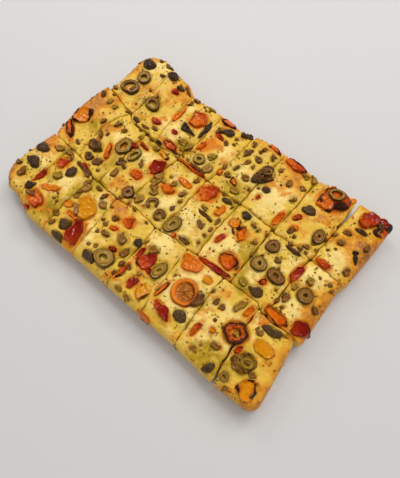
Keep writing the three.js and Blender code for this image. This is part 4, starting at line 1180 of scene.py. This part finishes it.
for name, place in TOMATOES.items():
    tomato = lay(fine_tomato_blank, name + "_roast", place, TOMATO_RISE, TOMATO_WOBBLE, rough=0.3,
                 form=curl, burnt=place[6])
    dress(tomato, roast_tomato, "tomato", name)
    press(place, "stained", strength=0.75, reach=4)
small = [lay(tomato_blank, "tomato", place, SMALL_TOMATO_RISE, CHOPPED_WOBBLE, rough=0.35,
             form=curl, burnt=BURNT_SHARES[number % 3])
         for number, place in enumerate(SMALL_TOMATOES)]
for place in SMALL_TOMATOES:
    press(place, "stained", strength=0.7, reach=3.2)
dress(joined("small_tomatoes", small), roast_tomato, "tomato")
discard(tomato_blank, fine_tomato_blank)
for part in slices:
    x, y, _ = part.points.T
    runs = swellings(x, y, JUICE_RUNS) * part.on_top
    part.marks["stained"] = np.maximum(part.marks["stained"], runs)
    part.store()

# One slice of a large cherry tomato lies whole: skin, a ring of flesh, and chambers of seeds.
SLICE_RISE, SLICE_WOBBLE, CHAMBERS = 3, 0.03, 5
round_slice_place = (60, -67, 25, 24, 0, 0.1)
slice_profile = [(0.96, FOOT), (1.0, 0.0), (1.0, 0.6), (0.96, 0.92), (0.9, 1.0), (0.82, 0.92),
                 (0.76, 0.95), (0.7, 0.8), (0.62, 0.5), (0.45, 0.42), (0.28, 0.5), (0.12, 0.75),
                 (0.04, 0.8)]
round_slice_blank = turned("round_slice_blank", slice_profile, 40, levels=2)


def raise_walls(px, py, pz, place):
    """Leaves the walls between the seed chambers standing."""
    angle, out = np.arctan2(py, px), np.hypot(px, py)
    wall = np.clip(np.cos(angle * CHAMBERS + 0.4) * 4 - 2.6, 0, 1)
    inside = np.clip((0.74 - out) / 0.1, 0, 1) * (pz > 0)
    return px, py, pz + 0.3 * wall * inside


SEED_JELLY, WALL_FLESH, DARK_JELLY = paint(184, 104, 20), paint(224, 120, 0), paint(134, 70, 20)
HOLLOW_SHADE, ORANGE_SKIN, BURNT_SKIN = paint(126, 54, 10), paint(176, 64, 0), paint(92, 40, 22)

round_flesh, shader = new_finish("round_flesh", Coat_Weight=0.6, Coat_Roughness=0.15,
                                 Specular_IOR_Level=0.2)
along, across, out = own_part("X"), own_part("Y"), share_out()
speck, fibre = grain(1.6, detail=4), grain(0.6)
ragged = out + (speck - 0.5) * 0.12
colour = cover(ragged.between(0.62, 0.72), SEED_JELLY, WALL_FLESH)
stringy = (1 - ragged.between(0.45, 0.62)) * fibre.between(0.4, 0.6) * 0.7
colour = cover(stringy, colour, DARK_JELLY)
hollow_edge = ragged.between(0.5, 0.64) * (1 - ragged.between(0.7, 0.84))
colour = cover(hollow_edge * (along * 0.5 + across * 0.5 + 0.55), colour, HOLLOW_SHADE)
colour = cover(ragged.between(0.9, 0.98), colour, ORANGE_SKIN)
burnt_side = (along * 0.9 + out * 0.5 + (speck - 0.5) * 0.3).between(0.95, 1.25)
colour = cover(burnt_side * ragged.between(0.6, 0.8), colour, BURNT_SKIN)
connect(shader, Base_Color=colour, Roughness=0.3 + fibre * 0.25,
        Normal=bump(speck * 0.5 + fibre * 0.5, 0.5))
round_slice = lay(round_slice_blank, "tomato_slice", round_slice_place, SLICE_RISE, SLICE_WOBBLE,
                  rough=0.3, form=raise_walls)
dress(round_slice, round_flesh, "tomato", "tomato_slice_c6")
press(round_slice_place, "stained", strength=0.6, reach=2)

SEED_COUNT, SEED_LENGTH, SEED_WIDTH, SEEDS_OUT = 34, 2.6, 1.5, 6.9
seed_blank = turned("seed_blank", [(0.6, -0.9), (1.0, 0.0), (0.6, 0.9), (0.2, 1.0)], 8)
random.seed(5)
seeds = []
for number in range(SEED_COUNT):
    angle = SPIRAL_TURN * number
    out = SEEDS_OUT * math.sqrt((number + 1.5) / SEED_COUNT)
    x, y = in_plan(round_slice_place, out * math.cos(angle), out * math.sin(angle))
    spot = (x, y, SEED_LENGTH, SEED_WIDTH, math.degrees(angle) + random.uniform(-30, 30), 0.5)
    seeds.append(lay(seed_blank, "seed", spot, rise=0.7, wobble=0.1, rough=0.1,
                     lift=SLICE_RISE * 0.5))
PALE_SEED, BROWN_SEED = paint(228, 164, 66), paint(176, 104, 26)
tomato_seed, shader = new_finish("tomato_seed", Coat_Weight=0.3, Specular_IOR_Level=0.2)
speck = grain(0.8)
colour = cover(grain(3).between(0.35, 0.65), PALE_SEED, BROWN_SEED)
connect(shader, Base_Color=colour, Roughness=0.35 + speck * 0.2, Normal=bump(speck, 0.2))
dress(joined("tomato_seeds", seeds), tomato_seed, "tomato")
discard(round_slice_blank, seed_blank)

# Another has lost its seeds, and its skin has burnt to a ring round a green scrap of olive.
SCORCHED_RISE, SCORCHED_WOBBLE = 4.4, 0.09
scorched_place = (115, -65, 21, 19, 20, 0.5, 0.42)
scorched_profile = [(0.5, FOOT), (0.96, FOOT), (1.0, 0.0), (1.0, 0.6), (0.95, 1.0), (0.88, 0.96),
                    (0.8, 0.74), (0.68, 0.6), (0.56, 0.56), (0.5, 0.3), (0.5, FOOT)]
scorched_blank = turned("scorched_blank", scorched_profile, 32, through=True, levels=2)
ROASTED_FLESH, DARK_FLESH, CHARRED_SKIN = paint(196, 88, 14), paint(138, 46, 10), paint(66, 32, 18)
scorched_flesh, shader = new_finish("scorched_flesh", Coat_Weight=0.25, Coat_Roughness=0.15,
                                    Specular_IOR_Level=0.2)
from_middle = share_out()
speck, fibre = grain(2.2, detail=4), grain(0.6)
ragged = from_middle + (speck - 0.5) * 0.4
colour = cover(speck.between(0.4, 0.65), ROASTED_FLESH, DARK_FLESH)
colour = cover(ragged.between(0.7, 0.86), colour, CHARRED_SKIN)
connect(shader, Base_Color=colour, Roughness=0.32 + fibre * 0.2,
        Normal=bump(speck * 0.6 + fibre * 0.4, 0.5))


def scorch(px, py, pz, place):
    """Sets the hole, and lets the burnt skin stand unevenly."""
    px, py, pz = set_hole(px, py, pz, place)
    angle = np.arctan2(py, px)
    uneven = 1 + 0.03 * np.sin(6 * angle)
    return px * uneven, py * uneven, pz * (1 + 0.15 * np.sin(angle * 2) * (pz > 0))


scorched = lay(scorched_blank, "scorched_ring", scorched_place, SCORCHED_RISE, SCORCHED_WOBBLE,
               rough=0.5, form=scorch)
dress(scorched, scorched_flesh, "tomato", "tomato_ring_c7")
press(scorched_place, "stained", strength=0.8, reach=3)
scrap = lay(fine_olive_blank, "olive_scrap", (116, -65.5, 7, 6, 30, -0.6), rise=2.2,
            wobble=CHOPPED_WOBBLE, rough=0.4, form=chop)
dress(scrap, chopped_olive, "green_olive")
discard(scorched_blank, fine_olive_blank)

# ----------------------------------------------------------------------------------- peppers
# Yellow and orange peppers, cut into squares and strips. Their thin flesh has curled up at the
# edges, where it is scorched, and shines with oil.

PEPPER_RISE, PEPPER_WOBBLE, SMALL_PEPPER_RISE = 3, 0.14, 2.4
PEPPERS = {  # the last two values are the tone, from yellow to orange, and how burnt it is
    "pepper_b1": (-152, 6, 23, 18, 25, 0.6, 0.85),
    "pepper_c3": (-67, -66, 24, 19, -35, 0.0, 0.05),
    "pepper_c6": (47, -43, 20, 14, 15, 1.0, 0.0),
    "pepper_c8": (150, -94, 18, 15, 60, 0.35, 0.8),
}
SMALL_PEPPERS = [
    (-71.5, 71, 20, 4, 90, 0.8), (121, 97, 14, 5, 82, 0.5), (-50, 24.5, 14, 5, -20, 0.1),
    (-13, 14, 17, 6, -6, 0.8), (33, 13, 12, 7, 80, 0.7), (51.5, 12, 11, 9, 30, 0.5),
    (-111, -74, 19, 6, 30, 0.7), (-83, -74, 8, 7, 0, 0.4), (31, -90, 14, 12, 80, 0.0),
    (68, -46, 9, 7, 0, 0.2), (140, -60.5, 17, 11, 0, 0.1), (22, 46, 8, 5, -10, 0.8),
    (96, 43, 7, 5, 30, 0.9), (-84, 7, 6, 4, 0, 0.5), (5, 46, 6, 4, 80, 0.8),
    (-72, -80, 14, 4, 0, 0.9), (99, -76, 5, 4, 0, 0.6), (47, -106, 12, 4, 0, 0.9),
]
pepper_profile = [(0.95, FOOT), (1.0, -0.1), (1.01, 0.5), (0.98, 0.92), (0.9, 1.0),
                  (0.8, 0.86), (0.6, 0.74), (0.35, 0.76), (0.1, 0.8)]
pepper_blank = turned("pepper_blank", pepper_profile, 22)
fine_pepper_blank = turned("fine_pepper_blank", pepper_profile, 32, levels=2)


def square_off(px, py, pz, place):
    """Gives a piece of pepper its knife-cut corners, and lets two of them curl up."""
    angle = np.arctan2(py, px)
    swell = (np.abs(np.cos(angle)) ** 5 + np.abs(np.sin(angle)) ** 5) ** (-1 / 5) / 1.08
    lift = 0.35 * np.sin(2 * angle + place[0]) * np.hypot(px, py) ** 2
    return px * swell, py * swell, np.where(pz > 0, pz * (1 + lift), pz)


YELLOW_PEPPER, ORANGE_PEPPER, PAINTED_PEPPER_HIGHLIGHT = paint(210, 134, 0), paint(212, 98, 0), paint(224, 152, 10)
PEPPER_RIM, PEPPER_CHAR = paint(160, 76, 4), paint(60, 28, 6)

roast_pepper, shader = new_finish("roast_pepper", Coat_Weight=0.7, Coat_Roughness=0.12,
                                  Specular_IOR_Level=0.1)
from_middle = share_out()
patch, speck, fibre = grain(7), grain(2.0, detail=4), grain(0.5)
tone = (mark("tone") + (patch - 0.5) * 0.6).between(0.0, 1.0)
colour = cover(tone, YELLOW_PEPPER, ORANGE_PEPPER)
# painted highlights: pale yellow specks over the flesh
colour = cover(speck.between(0.45, 0.65) * 0.5, colour, PAINTED_PEPPER_HIGHLIGHT)
burnt = mark("burnt")
scorched = grain(13, detail=1).between(0.42, 0.62) * 0.6 * burnt
rim = from_middle + (speck - 0.5) * 0.45 + scorched + burnt * 0.15 - 0.22
colour = cover(rim.between(0.75, 1.05) * 0.7, colour, PEPPER_RIM)
colour = cover((rim + (patch - 0.5) * 0.6).between(0.98, 1.12), colour, PEPPER_CHAR)
connect(shader, Base_Color=colour, Roughness=0.4 + fibre * 0.2,
        Normal=bump(speck * 0.6 + fibre * 0.4, 0.6))

for name, place in PEPPERS.items():
    pepper = lay(fine_pepper_blank, name + "_roast", place, PEPPER_RISE, PEPPER_WOBBLE, rough=0.5,
                 form=square_off, burnt=place[6])
    dress(pepper, roast_pepper, "pepper", name)
    press(place, "stained", strength=0.45, reach=3)
small = [lay(pepper_blank, "pepper", place, SMALL_PEPPER_RISE, CHOPPED_WOBBLE, rough=0.35,
             form=square_off, burnt=BURNT_SHARES[number % 3])
         for number, place in enumerate(SMALL_PEPPERS)]
for place in SMALL_PEPPERS:
    press(place, "stained", strength=0.5, reach=3)
dress(joined("small_peppers", small), roast_pepper, "pepper")
discard(pepper_blank, fine_pepper_blank)

# ---------------------------------------------------------------------------- burnt scraps
# Strips of olive and tomato skin that caught in the oven, black and ridged. The largest hangs at
# the upper edge of the sheet.

BURNT_RISE, BURNT_WOBBLE = 4, 0.16
burnt_place = (-2.5, 98, 15, 9, 65, 0.5)
BURNT_STRIPS = [
    (-103, 39, 10, 4.5, -8, 0.5), (-85, 101, 15, 4, -32, 0.9), (-38, 75, 25, 5.5, 92, 0.3),
    (-16, 34.5, 17, 3.6, 2, 0.8), (156, 88, 10, 7, 40, 0.2), (154, 53, 11, 3.5, -50, 0.1),
    (108, 24.5, 16, 4, 2, 0.5), (-108, -37, 10, 4, -8, 0.6), (-154, 40, 8, 5, -50, 0.7),
    (162, 99, 9, 6, 80, 0.1), (151, 58, 6, 3, 20, 0.2), (-66, 33.5, 8, 3, 0, 0.3),
    (-44, 34, 8, 3, 0, 0.4), (59, 12, 10, 2, 50, 0.4), (55, 5, 8, 2, -40, 0.5),
]
burnt_blank = turned("burnt_blank", black_profile, 18)
fine_burnt_blank = turned("fine_burnt_blank", black_profile, 36, levels=2)


def ridge(px, py, pz, place):
    """Draws a scrap up into ridges across its length."""
    ridges = np.sin(px * 11 + place[0] + np.sin(py * 4)) * np.clip(pz + 0.2, 0, 1)
    return px, py * (1 + 0.05 * ridges), pz + 0.16 * ridges


CHAR, BROWN_CHAR, ASH = paint(48, 32, 20), paint(122, 68, 26), paint(112, 84, 60)

charred, shader = new_finish("charred", Coat_Weight=0.15, Coat_Roughness=0.3)
speck, fibre = grain(1.5, detail=4), grain(0.5)
char = (mark("tone") + (speck - 0.5) * 0.7).between(0.2, 1.0)
colour = cover(char, CHAR, BROWN_CHAR)
colour = cover(fibre.between(0.6, 0.8) * 0.5, colour, ASH)
connect(shader, Base_Color=colour, Roughness=0.5 + speck * 0.25,
        Normal=bump(speck * 0.5 + fibre * 0.5, 0.6))
scrap = lay(fine_burnt_blank, "burnt_scrap", burnt_place, BURNT_RISE, BURNT_WOBBLE, rough=0.9,
            form=ridge)
dress(scrap, charred, "burnt", "burnt_a4")
press(burnt_place)
small = [lay(burnt_blank, "burnt", place, CHOPPED_RISE, CHOPPED_WOBBLE, rough=0.4, form=ridge)
         for place in BURNT_STRIPS]
for place in BURNT_STRIPS:
    press(place)
dress(joined("burnt_strips", small), charred, "burnt")
discard(burnt_blank, fine_burnt_blank)

# ------------------------------------------------------------------- crumbs and dried oregano
# What fell from the knife and the hand: crumbs of olive and tomato, and crumbled oregano scattered
# over the oiled dough. They stuck where they fell, thicker in some places, and darkened.

OLIVE_CRUMBS, OLIVE_CRUMB_SIZES = 430, (1.8, 2.2, 2.8, 3.4, 4.2)
TOMATO_CRUMBS, TOMATO_CRUMB_SIZES = 110, (1.6, 2, 2.6, 3.4)
FLAKES, FLAKE_SIZES = 1700, (1.0, 1.3, 1.3, 1.8, 2.6)
flake_blank = turned("flake_blank", [(0.8, -0.6), (1.0, 0.1), (0.5, 1.0)], 6, levels=0)
crumb_blank = turned("crumb_blank", [(0.8, FOOT), (1.0, 0.1), (0.7, 1.0)], 7)


def curl_flake(px, py, pz, place):
    """Curls both ends of a flake up."""
    return px, py, pz + 0.5 * px * px


def scattered(count, sizes, seed, bunching):
    """Places all over the sheet, bunched in some parts of it, as (x, y, length, width, turn, tone)."""
    random.seed(seed)
    places = []
    while len(places) < count:
        x, y = random.uniform(-166, 163), random.uniform(-107, 118)
        thick = 0.4 + noise.noise(Vector((x / 22, y / 22, seed / 5))) * bunching
        if random.random() < thick:
            size = random.choice(sizes)
            places.append((x, y, size, size * random.uniform(0.4, 0.8), random.uniform(0, 180),
                           random.random()))
    return places


def bread_top(x, y):
    """Level of the finished bread at a point, or None over a cut."""
    for part in slices:
        if part.low[0] < x < part.high[0] and part.low[1] < y < part.high[1]:
            distance = (part.points[:, 0] - x) ** 2 + (part.points[:, 1] - y) ** 2
            nearest = np.where(part.on_top, distance, 1e9).argmin()
            if distance[nearest] < 0.6:
                return part.points[nearest, 2]
    return None


STREWN_WOBBLE, STREWN_LIFT = 0.3, 0.12  # they are ragged, and lie on the bread


def strew(blank, name, places, rise, rough, form):
    """Lays copies of a blank on the bread wherever it is clear of toppings and cuts."""
    x, y = np.array([place[:2] for place in places]).T
    clear = np.min([outside_of(x, y, under) for under in pressed], axis=0)
    levels = sheet_level(x, y)
    laid = []
    for place, free, level in zip(places, clear, levels):
        top = bread_top(place[0], place[1])
        if top is not None and free > place[2] / 3:
            lift = top - level + STREWN_LIFT
            laid.append(lay(blank, name, place, rise, STREWN_WOBBLE, rough, form, lift))
    return joined(name, laid)


for part in slices:
    part.low, part.high = part.points.min(axis=0), part.points.max(axis=0)
places = scattered(OLIVE_CRUMBS, OLIVE_CRUMB_SIZES, seed=8, bunching=1.6)
crumbs = strew(crumb_blank, "olive_crumbs", places, rise=1, rough=0.3, form=chop)
dress(crumbs, chopped_olive, "green_olive")
places = scattered(TOMATO_CRUMBS, TOMATO_CRUMB_SIZES, seed=14, bunching=1.2)
crumbs = strew(crumb_blank, "tomato_crumbs", places, rise=0.8, rough=0.2, form=chop)
dress(crumbs, roast_tomato, "tomato")

PALE_LEAF, DARK_LEAF = paint(172, 146, 52), paint(116, 86, 28)
oregano, shader = new_finish("dried_oregano", Roughness=0.8, Specular_IOR_Level=0.1)
speck = grain(0.8)
tone = mark("tone") + (speck - 0.5) * 0.5
colour = cover(tone.between(0.1, 0.9), PALE_LEAF, DARK_LEAF)
connect(shader, Base_Color=colour, Normal=bump(speck, 0.1))
places = scattered(FLAKES, FLAKE_SIZES, seed=23, bunching=1.5)
flakes = strew(flake_blank, "oregano_flakes", places, rise=0.25, rough=0, form=curl_flake)
dress(flakes, oregano, "green_olive")
discard(flake_blank, crumb_blank)

# -------------------------------------------------------------------------- the light and camera
# A pale table under soft studio light, seen from above one corner of the sheet.

bpy.ops.mesh.primitive_plane_add(size=6, location=(0, 0, -0.0002))
table = bpy.context.active_object
table.name = "table"
table_finish, _ = new_finish("pale_table", Roughness=0.8, Base_Color=paint(205, 204, 205))
table.data.materials.append(table_finish)

SOFTBOXES = [  # (place, size, power): one large light, two that fill its shadows, three for gloss
    ((0.3, 1.4, 2.0), 2.0, 34.5),
    ((-0.9, -0.1, 0.8), 1.2, 2.5),
    ((0.6, -0.8, 0.8), 1.2, 3.6),
    ((-0.4, 0.38, 0.95), 0.2, 1.2),
    ((-0.75, 0.35, 0.7), 0.2, 1.3),
    ((0.1, 0.8, 0.8), 0.2, 1.6),
]
WARM_WHITE = (1.0, 0.98, 0.94)
for number, (place, size, power) in enumerate(SOFTBOXES, 1):
    light = bpy.data.lights.new("softbox_" + str(number), "AREA")
    light.size, light.energy, light.color = size, power, WARM_WHITE
    lamp = bpy.data.objects.new(light.name, light)
    lamp.location = place
    lamp.visible_glossy = size < 0.5  # only the small ones are seen in the oil
    lamp.rotation_euler = (-Vector(place)).to_track_quat("-Z", "Y").to_euler()
    bpy.context.scene.collection.objects.link(lamp)

world = bpy.data.worlds.new("studio")
world.use_nodes = True
background = world.node_tree.nodes["Background"]
background.inputs["Color"].default_value = (1.0, 0.98, 0.95, 1)
background.inputs["Strength"].default_value = 0.3
world.cycles_visibility.glossy = False  # it would lay a grey veil over the oiled pieces
bpy.context.scene.world = world
bpy.context.scene.view_settings.view_transform = "Standard"

# Where the photograph was taken from, and the directions of its frame.
CAMERA_PLACE = (0.13857, -0.12339, 0.360)
CAMERA_RIGHT = (0.7543, 0.6554, -0.0385)
CAMERA_UP = (-0.5954, 0.7077, 0.3804)
CAMERA_BACK = (0.2765, -0.2640, 0.9240)
lens = bpy.data.cameras.new("camera")
lens.lens = 30.13
lens.sensor_width = 36
camera = bpy.data.objects.new("camera", lens)
turn = Matrix((CAMERA_RIGHT, CAMERA_UP, CAMERA_BACK)).transposed().to_4x4()
camera.matrix_world = Matrix.Translation(CAMERA_PLACE) @ turn
bpy.context.scene.collection.objects.link(camera)
bpy.context.scene.camera = camera
